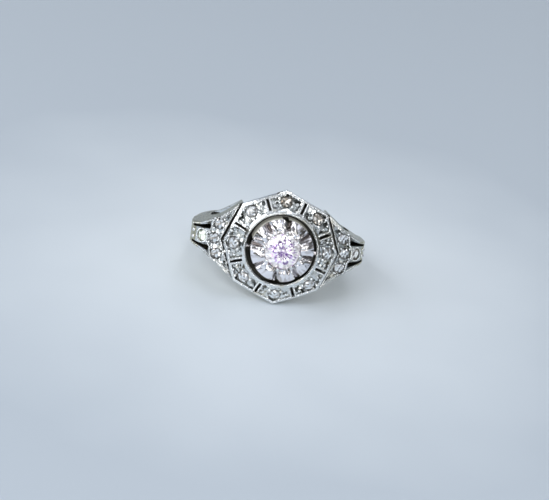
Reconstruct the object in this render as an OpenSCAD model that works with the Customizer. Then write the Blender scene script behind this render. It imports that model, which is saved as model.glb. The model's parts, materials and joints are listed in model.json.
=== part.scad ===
// Diamond dome ring: a domed octagonal head with a halo of small stones round a raised
// illusion setting, two tapering openwork shoulders and a plain shank.
// Each module draws in the ring's own frame: the finger along Y, the head up along Z and the
// middle of the finger hole at the origin. at_rest() lays the ring on its side.
// All sizes are in millimetres and all angles in degrees.

/* [Finger and shank] */
// Radius of the finger hole
finger_r = 8.25; // [8:0.05:8.5]
// Thickness of the shank at its middle
shank_t = 1; // [0.9:0.05:1.1]
// Thickness of the shank at its two sides
shank_side_t = 0.5; // [0.4:0.05:0.6]
// Width of the shank at the back
shank_w = 1.8; // [1.6:0.1:2.2]

/* [Head] */
// Distance from the middle of the head to its eight corners
head_r = 6.45; // [6.4:0.05:6.6]
// Angle of the four slanting corners from the line over the shoulders
slant_corner = 42.5; // [42:0.5:46]
// Height of the head's corners above the middle of the finger hole
edge_z = 10.3; // [10.2:0.05:10.6]
// Height of the head's upright edge at its corners
edge_h = 0.55; // [0.4:0.05:0.7]
// Slope of the dome
dome_slope = 32.5; // [30:0.5:34]
// Upright thickness of the dome
dome_t = 0.8; // [0.7:0.05:0.9]
// Radius of the round opening in the dome
opening_r = 3.95; // [3.9:0.05:4]
// Length of each slot in the dome
slot_l = 1.35; // [1:0.05:1.4]
// Width of each slot in the dome
slot_w = 0.3; // [0.2:0.02:0.4]
// Wall of the gallery under the dome
gallery_wall = 0.6; // [0.5:0.05:0.7]

/* [Illusion setting] */
// Outer radius of the cup
cup_r = 3.5; // [3.4:0.05:3.6]
// Height of the cup's outer edge above the middle of the finger hole
cup_z = 12.6; // [12.5:0.05:12.8]
// Depth of the cup's flutes at their outer end
flute_depth = 0.42; // [0.2:0.02:0.5]
// Turn of the flutes about the head's axis
flute_turn = 14.5; // [0:0.5:22]
// Distance that the cup sits off the middle towards the right shoulder
cup_shift = 0.08; // [0:0.01:0.1]

/* [Stones] */
// Diameter of the centre stone
centre_d = 3.95; // [3.8:0.05:4]
// Diameter of the halo stones
halo_d = 1.42; // [1.3:0.02:1.46]
// Diameter of the three stones in each shoulder's field
field_d = 1.24; // [1.1:0.02:1.26]
// Diameter of the stone in each shoulder's square plate
end_d = 1.28; // [1.1:0.02:1.36]
// Gap between a stone and its seat
stone_gap = 0.04; // [0.03:0.01:0.06]

/* [Shoulders] */
// Radius of the shoulders' upper curve, seen from the side
shoulder_r = 4; // [3.9:0.05:4.1]
// Half the width over both shoulders
reach = 9.9; // [9.85:0.05:9.95]
// Height of the shoulders' widest point above the middle of the finger hole
reach_z = 5.8; // [5.7:0.05:5.9]
// Thickness of the shoulders' top plate
plate_t = 0.75; // [0.6:0.05:0.85]
// Width of the shoulders' outer rails
rail_w = 0.34; // [0.3:0.02:0.4]
// Depth of the stone fields below the rails
field_depth = 0.14; // [0.1:0.02:0.18]

/* [Hidden] */
$fn = 96;

// Stones of one shoulder: place across the ring, place along the finger and diameter.
SHOULDER_STONES = [
    [7.0, 1.68, field_d],
    [7.42, 0, field_d],
    [7.0, -1.68, field_d],
    [8.76, 0, end_d]
];
halo_count = 8;
shoulder_count = len(SHOULDER_STONES);
SIDES = [["left", -1], ["right", 1]];

// Shank and rest
shank_r = finger_r + shank_t;
shank_side_r = finger_r + shank_side_t;
edge_low_z = edge_z - edge_h;
tilt = atan((head_r - shank_w / 2) / (edge_low_z + shank_side_r));
rest_z = head_r * cos(tilt) - edge_low_z * sin(tilt);
shank_fillet_r = (pow(shank_w / 2, 2) + pow(shank_t - shank_side_t, 2))
    / (2 * (shank_t - shank_side_t));

// Head
corner_step = 45;
side_turn = corner_step / 2;
CORNERS = [
    0, slant_corner, 90, 180 - slant_corner, 180, 180 + slant_corner, 270, 360 - slant_corner
];
to_flat = cos(side_turn);
head_top_z = 14;
halo_ring_r = 5.28;
field_in_r = 4.45;
border_w = 0.4;
slot_border_w = 0.2;
slot_mid_r = 5.12;
rim_r = 0.17;
rim_mid_r = opening_r + 0.2;
gallery_foot_z = 6.2;
gallery_lean = 0.67;
gallery_top_z = edge_low_z + 0.1;
gallery_top_flat = (head_r - 0.15) * to_flat;
gallery_foot_flat = gallery_flat(gallery_foot_z);
cavity_r = head_r - 0.75;
window_w = 1.9;
window_h = 0.8;

// Illusion setting
cup_wall = 0.5;
cup_rise = 0.35;
cup_foot_z = 9;
cup_foot_r = 2.4;
cup_wall_z = 9.8;
flute_count = 8;
flute_step = 360 / flute_count;
flute_half_angle = 68;
back_z = 9.38;
back_t = 0.36;
back_in_r = 2.78;
azure_r = 0.34;
azure_ring_r = 4.62;
tab_w = 0.35;
notch_w = 0.7;
prong_r = 0.22;

// Stones, as shares of the girdle radius
table_share = 0.56;
star_share = 0.77;
lower_share = 0.25;
crown_angle = 34.5;
pavilion_angle = 40.8;
girdle_share = 0.05;
centre_r = centre_d / 2;
centre_z = cup_z + cup_rise - 0.08;
table_z = centre_z + centre_r * (1 - table_share) * tan(crown_angle);
rest_y = (table_z * cos(tilt) + centre_r * table_share * sin(tilt) - shank_r * cos(tilt)) / 2;

// Shoulders
shoulder_x = reach - shoulder_r;
tip_x = 9;
tip_half = 1.45;
end_half = 1.1;
waist_x = 6.9;
waist_half = 2.62;
root_x = head_r * cos(slant_corner);
root_half = head_r * sin(slant_corner);
side_drop = 2;
groove_w = 0.22;
groove_depth = 0.45;
piercing_foot_z = 6.6;
bead_r = 0.22;
grain_r = 0.17;

function dome_z(r) = edge_z + (head_r - r) * tan(dome_slope);
function gallery_flat(z) = gallery_top_flat - gallery_lean * (gallery_top_z - z);
function octagon_points(r) = [for (a = CORNERS) [r * cos(a), r * sin(a)]];
function arc_tilt(x) = asin((x - shoulder_x) / shoulder_r);
function arc_z(x) = reach_z + shoulder_r * cos(arc_tilt(x));
function ring_points(n, r, z, turn = 0) =
    [for (i = [0:n - 1]) [r * cos(turn + i * 360 / n), r * sin(turn + i * 360 / n), z]];

module at_rest() {
    translate([0, rest_y, rest_z]) rotate([90 - tilt, 0, 0]) children();
}

// Place on the dome at one corner, with Z along the dome's normal
module on_halo(i) {
    rotate([0, 0, corner_step * (i - 1)])
        translate([halo_ring_r, 0, dome_z(halo_ring_r) - field_depth])
            rotate([0, dome_slope, 0]) children();
}

// Place on a shoulder, with Z along its normal
module on_shoulder(x, y, side) {
    mirror([side < 0 ? 1 : 0, 0, 0])
        translate([x, y, arc_z(x)]) rotate([0, arc_tilt(x), 0])
            translate([0, 0, -field_depth]) children();
}

// A drawing in X and Z, drawn through along Y
module through_y(half) {
    rotate([90, 0, 0]) linear_extrude(height = 2 * half, center = true) children();
}

// A drawing in Y and Z, drawn through along X
module through_x(half) {
    rotate([90, 0, 90]) linear_extrude(height = 2 * half, center = true) children();
}

// Brilliant cut: a table, 8 stars, 8 kites, 16 upper and 16 lower girdle facets, 8 mains
module brilliant(r) {
    main = tan(crown_angle);
    deep = tan(pavilion_angle);
    girdle = girdle_share * r;
    table = ring_points(8, table_share * r, (1 - table_share) * r * main);
    star = ring_points(8, star_share * r, (1 - star_share * to_flat) * r * main, side_turn);
    top = ring_points(16, r, 0);
    low = ring_points(16, r, -girdle);
    lower = ring_points(8, lower_share * r, -girdle - (1 - lower_share * to_flat) * r * deep,
        side_turn);
    points = concat(table, star, top, low, lower, [[0, 0, -girdle - r * deep]]);
    faces = concat(
        [[for (i = [7:-1:0]) i]],
        [for (i = [0:7]) [i, (i + 1) % 8, 8 + i]],
        [for (i = [0:7]) [i, 8 + i, 16 + 2 * i]],
        [for (i = [0:7]) [i, 16 + 2 * i, 8 + (i + 7) % 8]],
        [for (i = [0:7]) [8 + i, 17 + 2 * i, 16 + 2 * i]],
        [for (i = [0:7]) [8 + i, 16 + (2 * i + 2) % 16, 17 + 2 * i]],
        [for (i = [0:15]) [16 + i, 16 + (i + 1) % 16, 32 + (i + 1) % 16, 32 + i]],
        [for (i = [0:7]) [32 + 2 * i, 33 + 2 * i, 48 + i]],
        [for (i = [0:7]) [33 + 2 * i, 32 + (2 * i + 2) % 16, 48 + i]],
        [for (i = [0:7]) [32 + 2 * i, 48 + i, 56]],
        [for (i = [0:7]) [32 + 2 * i, 56, 48 + (i + 7) % 8]]
    );
    polyhedron(points = points, faces = faces, convexity = 2);
}

// Single cut: a table, 8 crown and 8 pavilion facets, and a girdle of 8 sides
module single_cut(r) {
    girdle = 2 * girdle_share * r;
    table = ring_points(8, table_share * r, (1 - table_share) * r * tan(crown_angle), side_turn);
    top = ring_points(8, r, 0, side_turn);
    low = ring_points(8, r, -girdle, side_turn);
    points = concat(table, top, low, [[0, 0, -girdle - r * tan(pavilion_angle)]]);
    faces = concat(
        [[for (i = [7:-1:0]) i]],
        [for (i = [0:7]) [i, (i + 1) % 8, 8 + (i + 1) % 8, 8 + i]],
        [for (i = [0:7]) [8 + i, 8 + (i + 1) % 8, 16 + (i + 1) % 8, 16 + i]],
        [for (i = [0:7]) [16 + i, 16 + (i + 1) % 8, 24]]
    );
    polyhedron(points = points, faces = faces, convexity = 2);
}

// Seat of a small stone: a straight wall, a cone under the girdle and a hole below
module seat(d) {
    r = d / 2 + stone_gap;
    floor_z = -2 * girdle_share * d / 2 - stone_gap;
    hole_r = 0.3;
    cone_h = (r - hole_r) * tan(pavilion_angle);
    translate([0, 0, floor_z]) cylinder(r = r, h = 2);
    translate([0, 0, floor_z - cone_h]) cylinder(r1 = hole_r, r2 = r, h = cone_h + 0.001);
    translate([0, 0, -1]) cylinder(r = hole_r, h = 1);
}

// Four bead grains round a small stone, half sunk in the metal
module grains(d) {
    for (a = [45:90:315])
        rotate([0, 0, a]) translate([d / 2 + stone_gap + grain_r, 0, 0.02])
            sphere(r = grain_r, $fn = 24);
}

module shank() {
    rotate([90, 0, 0]) rotate_extrude() intersection() {
        translate([finger_r - 0.3, -shank_w / 2]) square([2, shank_w]);
        translate([shank_r - shank_fillet_r, 0]) circle(r = shank_fillet_r);
    }
    intersection() {
        through_y(4) difference() {
            circle(r = shank_side_r + 0.15);
            circle(r = finger_r - 0.2);
        }
        through_x(reach) shank_front();
    }
}

// Half of the ring seen along X: the shank widens towards the head
module shank_front() {
    polygon([
        [-0.85, -0.4], [0.85, -0.4], [1.05, 1.5], [2, 6], [2.6, 9],
        [-2.6, 9], [-2, 6], [-1.05, 1.5]
    ]);
}

// Side view of a shoulder, in by a given distance from its outer curve
module shoulder_side(inset) {
    translate([shoulder_x, reach_z]) circle(r = shoulder_r - inset);
    translate([3, 2]) square([shoulder_x - 3, reach_z + shoulder_r - inset - 2]);
    polygon([
        [3, 0.1], [9.16 - inset, 0.1], [reach - 0.05 - inset, reach_z - 0.5], [3, reach_z - 0.5]
    ]);
}

// Shoulder seen from above, in by a given distance from its two long edges
module shoulder_plan(inset) {
    upper = [
        [2.5, 2.3 - inset], [root_x, root_half - 1.3 * inset], [waist_x, waist_half - 1.2 * inset],
        [tip_x, tip_half - inset], [reach + 0.1, end_half - inset]
    ];
    lower = [for (i = [len(upper) - 1:-1:0]) [upper[i].x, -upper[i].y]];
    polygon(concat(upper, lower));
}

module shoulder_block(top_inset, side_inset) {
    intersection() {
        through_y(6) shoulder_side(top_inset);
        linear_extrude(height = 12) shoulder_plan(side_inset);
        through_x(12) polygon([
            [-0.9, 0], [0.9, 0], [1.25, 3.5], [5, 7.3], [5, 12], [-5, 12], [-5, 7.3], [-1.25, 3.5]
        ]);
    }
}

// Field of the three stones seen from above; its outer end is shaped like a bracket
module field_plan() {
    intersection() {
        shoulder_plan(rail_w);
        difference() {
            polygon([
                [4, 5], [7.56, 5], [7.56, 1.9], [7.72, 1], [8.1, 0.5], [8.1, -0.5],
                [7.72, -1], [7.56, -1.9], [7.56, -5], [4, -5]
            ]);
            polygon(octagon_points(head_r + groove_w + 0.1));
        }
    }
}

// The two long piercings beside the end plate
module piercing_plan() {
    for (m = [0, 1])
        mirror([0, m]) polygon([
            [7.9, 1.0], [8.1, 0.92], [9, 0.87], [9.72, 0.76], [9.72, 1], [9, 1.2],
            [7.92, 1.56], [7.86, 1.3]
        ]);
}

// A drawing seen from above, cut into the shoulder's top to a given depth and no lower than foot_z
module carve(depth, foot_z) {
    intersection() {
        translate([0, 0, foot_z]) linear_extrude(height = head_top_z - foot_z) children();
        through_y(6) difference() {
            translate([3, reach_z - 4]) square([8, 10]);
            shoulder_side(depth);
        }
    }
}

module shoulder() {
    difference() {
        shoulder_block(0, 0);
        difference() {
            shoulder_block(plate_t, 0.42);
            through_y(6) circle(r = shank_side_r + 0.1);
        }
        through_y(6) difference() {
            translate([shoulder_x, reach_z]) circle(r = shoulder_r - side_drop);
            circle(r = shank_side_r + 0.13);
        }
        through_y(6) circle(r = shank_side_r - 0.1);
        carve(field_depth, reach_z) field_plan();
        carve(plate_t + 0.1, piercing_foot_z) piercing_plan();
        translate([0, 0, edge_low_z - groove_depth]) linear_extrude(height = 2) difference() {
            polygon(octagon_points(head_r + groove_w));
            polygon(octagon_points(head_r - 0.1));
        }
    }
    for (y = [-0.36, 0.36])
        translate([9.6, y, arc_z(9.6)]) sphere(r = bead_r, $fn = 24);
}

// Eight-sided block that leans, made of four slabs; flats are half widths across the sides
module octagon_block(foot_flat, top_flat, foot_z, top_z) {
    intersection_for(i = [0:3])
        rotate([0, 0, side_turn + corner_step * i])
            through_y(10) polygon([
                [-foot_flat, foot_z], [foot_flat, foot_z], [top_flat, top_z], [-top_flat, top_z]
            ]);
}

// One arched window in each of the four sides between the shoulders
module gallery_windows() {
    for (a = [67.5, 112.5, 247.5, 292.5])
        rotate([0, 0, a]) translate([0, 0, 8.85]) rotate([90, 0, 90]) linear_extrude(height = 8) {
            square([window_w - window_h, window_h], center = true);
            for (s = [-1, 1])
                translate([s * (window_w - window_h) / 2, 0]) circle(r = window_h / 2);
        }
}

// Below the dome's surface by a given depth, as a drawing to be turned about Z
module dome_section(depth, foot_z) {
    polygon([
        [0, foot_z], [8, foot_z], [8, dome_z(8) - depth], [0, dome_z(0) - depth]
    ]);
}

module dome() {
    difference() {
        intersection() {
            translate([0, 0, edge_low_z])
                linear_extrude(height = 6) polygon(octagon_points(head_r));
            rotate_extrude() dome_section(0, 9);
        }
        dome_fields();
    }
    translate([0, 0, dome_z(rim_mid_r)]) rotate_extrude()
        translate([rim_mid_r, 0]) circle(r = rim_r, $fn = 24);
}

// The eight sunk fields, which leave borders along the edge, the rim and the slots
module dome_fields() {
    intersection() {
        linear_extrude(height = head_top_z) difference() {
            polygon(octagon_points(head_r - border_w));
            circle(r = field_in_r);
            for (i = [0:7])
                rotate(side_turn + corner_step * i)
                    translate([3, -slot_w / 2 - slot_border_w])
                        square([5, slot_w + 2 * slot_border_w]);
        }
        rotate_extrude() polygon([
            [4, dome_z(4) - field_depth], [7, dome_z(7) - field_depth], [7, 14], [4, 14]
        ]);
    }
}

module head() {
    difference() {
        union() {
            dome();
            octagon_block(gallery_foot_flat, gallery_top_flat, gallery_foot_z, gallery_top_z);
        }
        head_cavity();
        gallery_windows();
        cylinder(r = opening_r, h = 20);
        for (i = [0:7])
            rotate([0, 0, side_turn + corner_step * i])
                translate([slot_mid_r - slot_l / 2, -slot_w / 2, edge_low_z])
                    cube([slot_l, slot_w, 4]);
    }
}

module head_cavity() {
    lean = gallery_lean * 0.5;
    octagon_block(gallery_foot_flat - gallery_wall - lean, gallery_top_flat - gallery_wall,
        gallery_foot_z - 0.5, gallery_top_z);
    intersection() {
        translate([0, 0, edge_low_z - 0.1])
            linear_extrude(height = 6) polygon(octagon_points(cavity_r));
        rotate_extrude() dome_section(dome_t, 9);
    }
}

// Shell of the illusion cup: a wall, a fluted top and a seat for the centre stone
module cup_shell() {
    seat_r = centre_r + stone_gap;
    seat_z = centre_z - girdle_share * centre_r - stone_gap;
    seat_in = 1.1;
    seat_low = seat_z - (seat_r - seat_in) * tan(pavilion_angle);
    rotate_extrude() polygon([
        [cup_foot_r, cup_foot_z], [cup_r, cup_wall_z], [cup_r, cup_z],
        [seat_r, cup_z + cup_rise], [seat_r, seat_z], [seat_in, seat_low],
        [seat_in, seat_low - 0.45], [seat_r, seat_z - 0.5], [cup_r - cup_wall, cup_z - 0.55],
        [cup_r - cup_wall, cup_wall_z + 0.2], [cup_foot_r - cup_wall, cup_foot_z + 0.2],
        [cup_foot_r - cup_wall, cup_foot_z]
    ]);
}

// Grooves between the lobes, deepest at the edge of the cup
module flutes() {
    outer_r = cup_r + 0.3;
    inner_r = centre_r + 0.12;
    half = flute_depth * tan(flute_half_angle);
    fall = atan((cup_rise + flute_depth) / (outer_r - inner_r));
    for (i = [0:flute_count - 1])
        rotate([0, 0, flute_turn + flute_step * (i + 0.5)])
            translate([inner_r, 0, cup_z + cup_rise]) rotate([0, fall, 0])
                rotate([90, 0, 90]) linear_extrude(height = outer_r - inner_r + 0.6)
                    polygon([[0, 0], [2 * half, 2 * flute_depth], [-2 * half, 2 * flute_depth]]);
}

module illusion_cup() {
    difference() {
        cup_shell();
        flutes();
        for (s = [-1, 1])
            translate([-notch_w / 2, s * cup_r - 0.8, cup_z - 1.9]) cube([notch_w, 1.6, 1.3]);
    }
    for (i = [0:flute_count - 1])
        rotate([0, 0, flute_turn + flute_step * (i + 0.5)])
            translate([centre_r + stone_gap + prong_r, 0, cup_z + cup_rise - 0.3]) {
                cylinder(r = prong_r, h = 0.4, $fn = 24);
                translate([0, 0, 0.4]) sphere(r = prong_r, $fn = 24);
            }
    for (s = [-1, 1])
        translate([s * (cup_r + 0.4) - 0.5, -tab_w / 2, dome_z(opening_r) - 0.65])
            cube([1, tab_w, 0.3]);
}

// Plate that closes the gallery behind the cup, with a plain round hole under each halo stone
module back_plate() {
    top_z = back_z + back_t;
    in_wall = gallery_wall - 0.1;
    difference() {
        octagon_block(gallery_flat(back_z) - in_wall, gallery_flat(top_z) - in_wall, back_z, top_z);
        translate([cup_shift, 0, 0]) cylinder(r = back_in_r, h = 20);
        for (i = [0:7])
            rotate([0, 0, corner_step * i]) translate([azure_ring_r, 0, 0])
                cylinder(r = azure_r, h = 20, $fn = 48);
    }
}

module ring_body() {
    color("silver") at_rest() difference() {
        union() {
            difference() {
                union() {
                    shank();
                    for (s = SIDES) mirror([s[1] < 0 ? 1 : 0, 0, 0]) shoulder();
                }
                octagon_block(gallery_foot_flat - 0.3, gallery_top_flat - 0.3,
                    gallery_foot_z, edge_low_z + 2);
            }
            head();
            back_plate();
            translate([cup_shift, 0, 0]) illusion_cup();
            for (i = [1:halo_count]) on_halo(i) grains(halo_d);
        }
        rotate([90, 0, 0]) cylinder(r = finger_r, h = 30, center = true);
        for (i = [1:halo_count]) on_halo(i) seat(halo_d);
        for (s = SIDES, p = SHOULDER_STONES) on_shoulder(p[0], p[1], s[1]) seat(p[2]);
    }
}

module centre_stone() {
    color("white") at_rest() translate([cup_shift, 0, centre_z]) brilliant(centre_r);
}

module halo_stone(i) {
    color("white") at_rest() on_halo(i) single_cut(halo_d / 2);
}

module shoulder_stone(i, side) {
    p = SHOULDER_STONES[i - 1];
    color("white") at_rest() on_shoulder(p[0], p[1], side) single_cut(p[2] / 2);
}

ring_body();
centre_stone();
for (i = [1:halo_count])
    halo_stone(i);
for (s = SIDES, i = [1:shoulder_count])
    shoulder_stone(i, s[1]);
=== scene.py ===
"""Looks of the diamond dome ring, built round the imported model.

Every shape is worked out in the ring's own frame, in millimetres: the finger along Y, the head up
along Z, and the middle of the finger hole at the origin. RingLay lays a finished shape down on its
side in the shared frame, in metres.

A size whose name ends in _r is a radius or a distance from an axis, _z a height, _t a thickness, _w
a width, _scale a number a metre and _depth a depth. A field that its name explains in this way has
no line under Attributes.
"""

import json
import logging
import math
from collections.abc import Callable, Sequence
from dataclasses import dataclass, field
from enum import Enum

import bmesh
import bpy
from mathutils import Matrix, Vector


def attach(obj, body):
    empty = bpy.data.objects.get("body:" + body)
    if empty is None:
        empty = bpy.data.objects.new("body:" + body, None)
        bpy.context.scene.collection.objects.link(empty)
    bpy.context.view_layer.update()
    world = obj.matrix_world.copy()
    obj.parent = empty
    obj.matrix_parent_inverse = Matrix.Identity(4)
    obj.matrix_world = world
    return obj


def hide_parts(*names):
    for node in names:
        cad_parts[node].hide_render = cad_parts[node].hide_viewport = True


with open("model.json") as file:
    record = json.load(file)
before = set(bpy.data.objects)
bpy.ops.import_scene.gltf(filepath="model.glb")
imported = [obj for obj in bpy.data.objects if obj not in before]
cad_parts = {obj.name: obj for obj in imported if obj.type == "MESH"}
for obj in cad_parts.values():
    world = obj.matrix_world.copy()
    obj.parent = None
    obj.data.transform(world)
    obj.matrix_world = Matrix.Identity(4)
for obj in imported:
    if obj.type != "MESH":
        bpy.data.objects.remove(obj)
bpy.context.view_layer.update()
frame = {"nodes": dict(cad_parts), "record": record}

log = logging.getLogger("ring")

Point = tuple[float, float]
Colour = tuple[float, float, float]
Place = tuple[float, float, float]
Material = bpy.types.Material
Socket = bpy.types.NodeSocket

CORNER_DIRT_AND_SHADE: Colour = (0.22, 0.216, 0.195)    # dirt and painted shade in the corners of the head
MILLIMETRE = 0.001                      # in metres
SAME_POINT = 1e-5                       # points nearer than this are one point
TOOL_REACH = 15.0                       # a distance that is outside the whole ring
SHARP_EDGE = 32.0                       # degrees; edges that turn more look sharp
BODY = "root"
METAL_NODE = "ring_body"


def polar(radius: float, degrees: float) -> Point:
    """Point at a distance and an angle from the middle of a flat drawing."""
    return radius * math.cos(math.radians(degrees)), radius * math.sin(math.radians(degrees))


def arc(centre: Point, radius: float, start: float, end: float, steps: int) -> list[Point]:
    """Points along an arc."""
    turns = [start + (end - start) * i / steps for i in range(steps + 1)]
    return [(centre[0] + x, centre[1] + y) for x, y in (polar(radius, a) for a in turns)]


def along(path: list[Vector], pitch: float, closed: bool = False) -> list[Vector]:
    """Points at even steps along a path.

    Args:
        path: corners of the path.
        pitch: wished distance between two points.
        closed: True where the path ends at its start.

    Returns:
        The points, with both ends of an open path among them.
    """
    ends = path[1:] + path[:1] if closed else path[1:]
    spans = [(a, b) for a, b in zip(path, ends) if (b - a).length > 0]
    total = sum((b - a).length for a, b in spans)
    count = max(1, round(total / pitch))
    points = []
    for i in range(count if closed else count + 1):
        left = total * i / count
        for a, b in spans:
            length = (b - a).length
            if left <= length or (a, b) == spans[-1]:
                points.append(a.lerp(b, min(1.0, left / length)))
                break
            left -= length
    return points


def held(value: float) -> float:
    """The value, held between 0 and 1."""
    return min(1.0, max(0.0, value))


def value_on(path: Sequence[Point], x: float) -> float:
    """Value at a place on a chain of straight stretches, held past its ends.

    Args:
        path: place and value of each corner, in the order of their places.
        x: the place.

    Returns:
        The value there.
    """
    if x <= path[0][0]:
        return path[0][1]
    for (low, first), (high, second) in zip(path, path[1:]):
        if x <= high:
            return first + (second - first) * (x - low) / (high - low)
    return path[-1][1]


class Way(Enum):
    """Direction in which a drawing is drawn through, as the order of its numbers in X, Y and Z."""

    ACROSS = (2, 0, 1)      # a drawing in Y and Z, drawn through along X
    FINGER = (0, 2, 1)      # a drawing in X and Z, drawn through along Y
    HEAD = (0, 1, 2)        # a drawing in X and Y, drawn through along Z

    def place(self, u: float, v: float, depth: float) -> Vector:
        """Place in the ring's frame of a point of the drawing, at a depth along the way."""
        numbers = (u, v, depth)
        return Vector([numbers[i] for i in self.value])


class Work(Enum):
    """What a tool does to the solid that it meets."""

    CUT = "DIFFERENCE"
    KEEP = "INTERSECT"
    JOIN = "UNION"


class Side(Enum):
    """The two shoulders, seen from the front."""

    LEFT = -1
    RIGHT = 1

    def flip(self) -> Matrix:
        """Takes a shape from the right side to this one."""
        return Matrix.Scale(self.value, 4, (1, 0, 0))


@dataclass(frozen=True)
class RingLay:
    """How the ring lies on the floor.

    Attributes:
        bore_at: middle of the finger hole in the shared frame, in metres.
        finger: direction of the finger.
    """

    bore_at: Vector
    finger: Vector

    @classmethod
    def from_record(cls, record: dict) -> "RingLay":
        """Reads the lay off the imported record's bore mount."""
        bore = next(m for m in record["mounts"] if m["kind"] == "bore")
        return cls(Vector(bore["pos_m"]), Vector(bore["axis"]).normalized())

    def matrix(self) -> Matrix:
        """Turns the ring's own frame in millimetres into the shared frame in metres.

        Returns:
            The matrix that does so.
        """
        across = Vector((1.0, 0.0, 0.0))
        head = across.cross(self.finger)
        turn = Matrix((across, self.finger, head)).transposed().to_4x4()
        return Matrix.Translation(self.bore_at) @ turn @ Matrix.Scale(MILLIMETRE, 4)


class Solid:
    """A closed body of metal that is being worked, in millimetres in the ring's frame."""

    def __init__(self, body: bmesh.types.BMesh | None = None) -> None:
        """Takes a mesh over, or starts with none."""
        self.body = body or bmesh.new()

    @classmethod
    def prism(cls, outline: list[Point], way: Way, low: float, high: float) -> "Solid":
        """A flat drawing drawn through.

        Args:
            outline: corners of the drawing, in order.
            way: direction in which it is drawn through.
            low: where the solid starts along that direction.
            high: where it ends.

        Returns:
            The closed solid.
        """
        body = bmesh.new()
        body.faces.new([body.verts.new(way.place(u, v, low)) for u, v in outline])
        grown = bmesh.ops.extrude_face_region(body, geom=list(body.faces), use_keep_orig=True)
        top = [e for e in grown["geom"] if isinstance(e, bmesh.types.BMVert)]
        bmesh.ops.translate(body, verts=top, vec=way.place(0, 0, high) - way.place(0, 0, low))
        bmesh.ops.recalc_face_normals(body, faces=list(body.faces))
        return cls(body)

    @classmethod
    def lathe(cls, section: list[Point], steps: int) -> "Solid":
        """A section turned round the head's axis.

        Args:
            section: distance from the axis and height of each corner, in order.
            steps: number of stretches round the axis.

        Returns:
            The closed solid.
        """
        body = bmesh.new()
        ring = [body.verts.new((r, 0.0, z)) for r, z in section]
        sides = [
            body.edges.new((a, b))
            for a, b in zip(ring, ring[1:] + ring[:1])
            if a.co.x > 0 or b.co.x > 0
        ]
        bmesh.ops.spin(
            body, geom=ring + sides, cent=(0, 0, 0), axis=(0, 0, 1), dvec=(0, 0, 0),
            angle=2 * math.pi, steps=steps, use_merge=True, use_duplicate=False,
        )
        bmesh.ops.remove_doubles(body, verts=list(body.verts), dist=SAME_POINT)
        bmesh.ops.recalc_face_normals(body, faces=list(body.faces))
        return cls(body)

    @classmethod
    def cone(cls, low_r: float, high_r: float, low: float, high: float, sides: int) -> "Solid":
        """A cylinder, cone or many-sided block round the Z axis, with its first corner over X.

        Args:
            low_r: radius at the lower end.
            high_r: radius at the upper end.
            low: height of the lower end.
            high: height of the upper end.
            sides: number of sides.

        Returns:
            The closed solid.
        """
        body = bmesh.new()
        made = bmesh.ops.create_cone(
            body, cap_ends=True, segments=sides, radius1=low_r, radius2=high_r,
            depth=high - low, matrix=Matrix.Translation((0, 0, (low + high) / 2)),
        )
        corner = made["verts"][0].co
        first = math.atan2(corner.y, corner.x)
        spin = Matrix.Rotation(-first, 4, "Z")
        bmesh.ops.transform(body, matrix=spin, verts=list(body.verts))
        return cls(body)

    @classmethod
    def finger_cylinder(cls, radius: float, at: Point = (0.0, 0.0), steps: int = 192) -> "Solid":
        """A long cylinder along the finger, with its axis at a place in X and Z."""
        lie = Matrix.Translation((at[0], 0, at[1])) @ Matrix.Rotation(math.pi / 2, 4, "X")
        return cls.cone(radius, radius, -TOOL_REACH, TOOL_REACH, steps).moved(lie)

    def add_balls(self, places: list[Matrix], radius: float, rings: int = 5, sides: int = 8
                  ) -> None:
        """Adds a row of equal small balls.

        Args:
            places: place of each ball; its pole points along the place's Z axis.
            radius: radius of a ball before its place stretches it.
            rings: number of stretches from pole to pole.
            sides: number of stretches round the pole.
        """
        ball = bmesh.new()
        bmesh.ops.create_uvsphere(ball, u_segments=sides, v_segments=rings, radius=radius)
        pattern = bpy.data.meshes.new("ball")
        ball.to_mesh(pattern)
        ball.free()
        for place in places:
            one = pattern.copy()
            one.transform(place)
            self.body.from_mesh(one)
            bpy.data.meshes.remove(one)
        bpy.data.meshes.remove(pattern)

    def add(self, other: "Solid") -> None:
        """Takes another solid into the same mesh without working the two together.

        Args:
            other: the solid that is taken in.
        """
        mesh = bpy.data.meshes.new("part")
        other.body.to_mesh(mesh)
        self.body.from_mesh(mesh)
        bpy.data.meshes.remove(mesh)

    def copy(self) -> "Solid":
        """A second solid of the same shape."""
        return Solid(self.body.copy())

    def moved(self, matrix: Matrix) -> "Solid":
        """The same solid after a move, a turn or a mirroring.

        Args:
            matrix: what is done to it.

        Returns:
            This solid, with its faces still outwards.
        """
        bmesh.ops.transform(self.body, matrix=matrix, verts=list(self.body.verts))
        if matrix.determinant() < 0:
            bmesh.ops.reverse_faces(self.body, faces=list(self.body.faces))
        return self

    def turned(self, degrees: float) -> "Solid":
        """The same solid turned round the head's axis."""
        return self.moved(Matrix.Rotation(math.radians(degrees), 4, "Z"))

    def worked(self, how: Work, *tools: "Solid") -> "Solid":
        """This solid after each tool has cut it, kept the common part or been joined to it.

        Args:
            how: what each tool does.
            tools: the tools, in order.

        Returns:
            This solid, with its new mesh.
        """
        base = self._trial_object("base")
        helpers = [tool._trial_object("tool") for tool in tools]
        for helper in helpers:
            step = base.modifiers.new("work", "BOOLEAN")
            step.operation = how.value
            step.solver = "MANIFOLD"
            step.object = helper
        graph = bpy.context.evaluated_depsgraph_get()
        mesh = bpy.data.meshes.new_from_object(base.evaluated_get(graph))
        self.body.free()
        self.body = bmesh.new()
        self.body.from_mesh(mesh)
        bpy.data.meshes.remove(mesh)
        for trial in [base, *helpers]:
            old = trial.data
            bpy.data.objects.remove(trial)
            bpy.data.meshes.remove(old)
        return self

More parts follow.
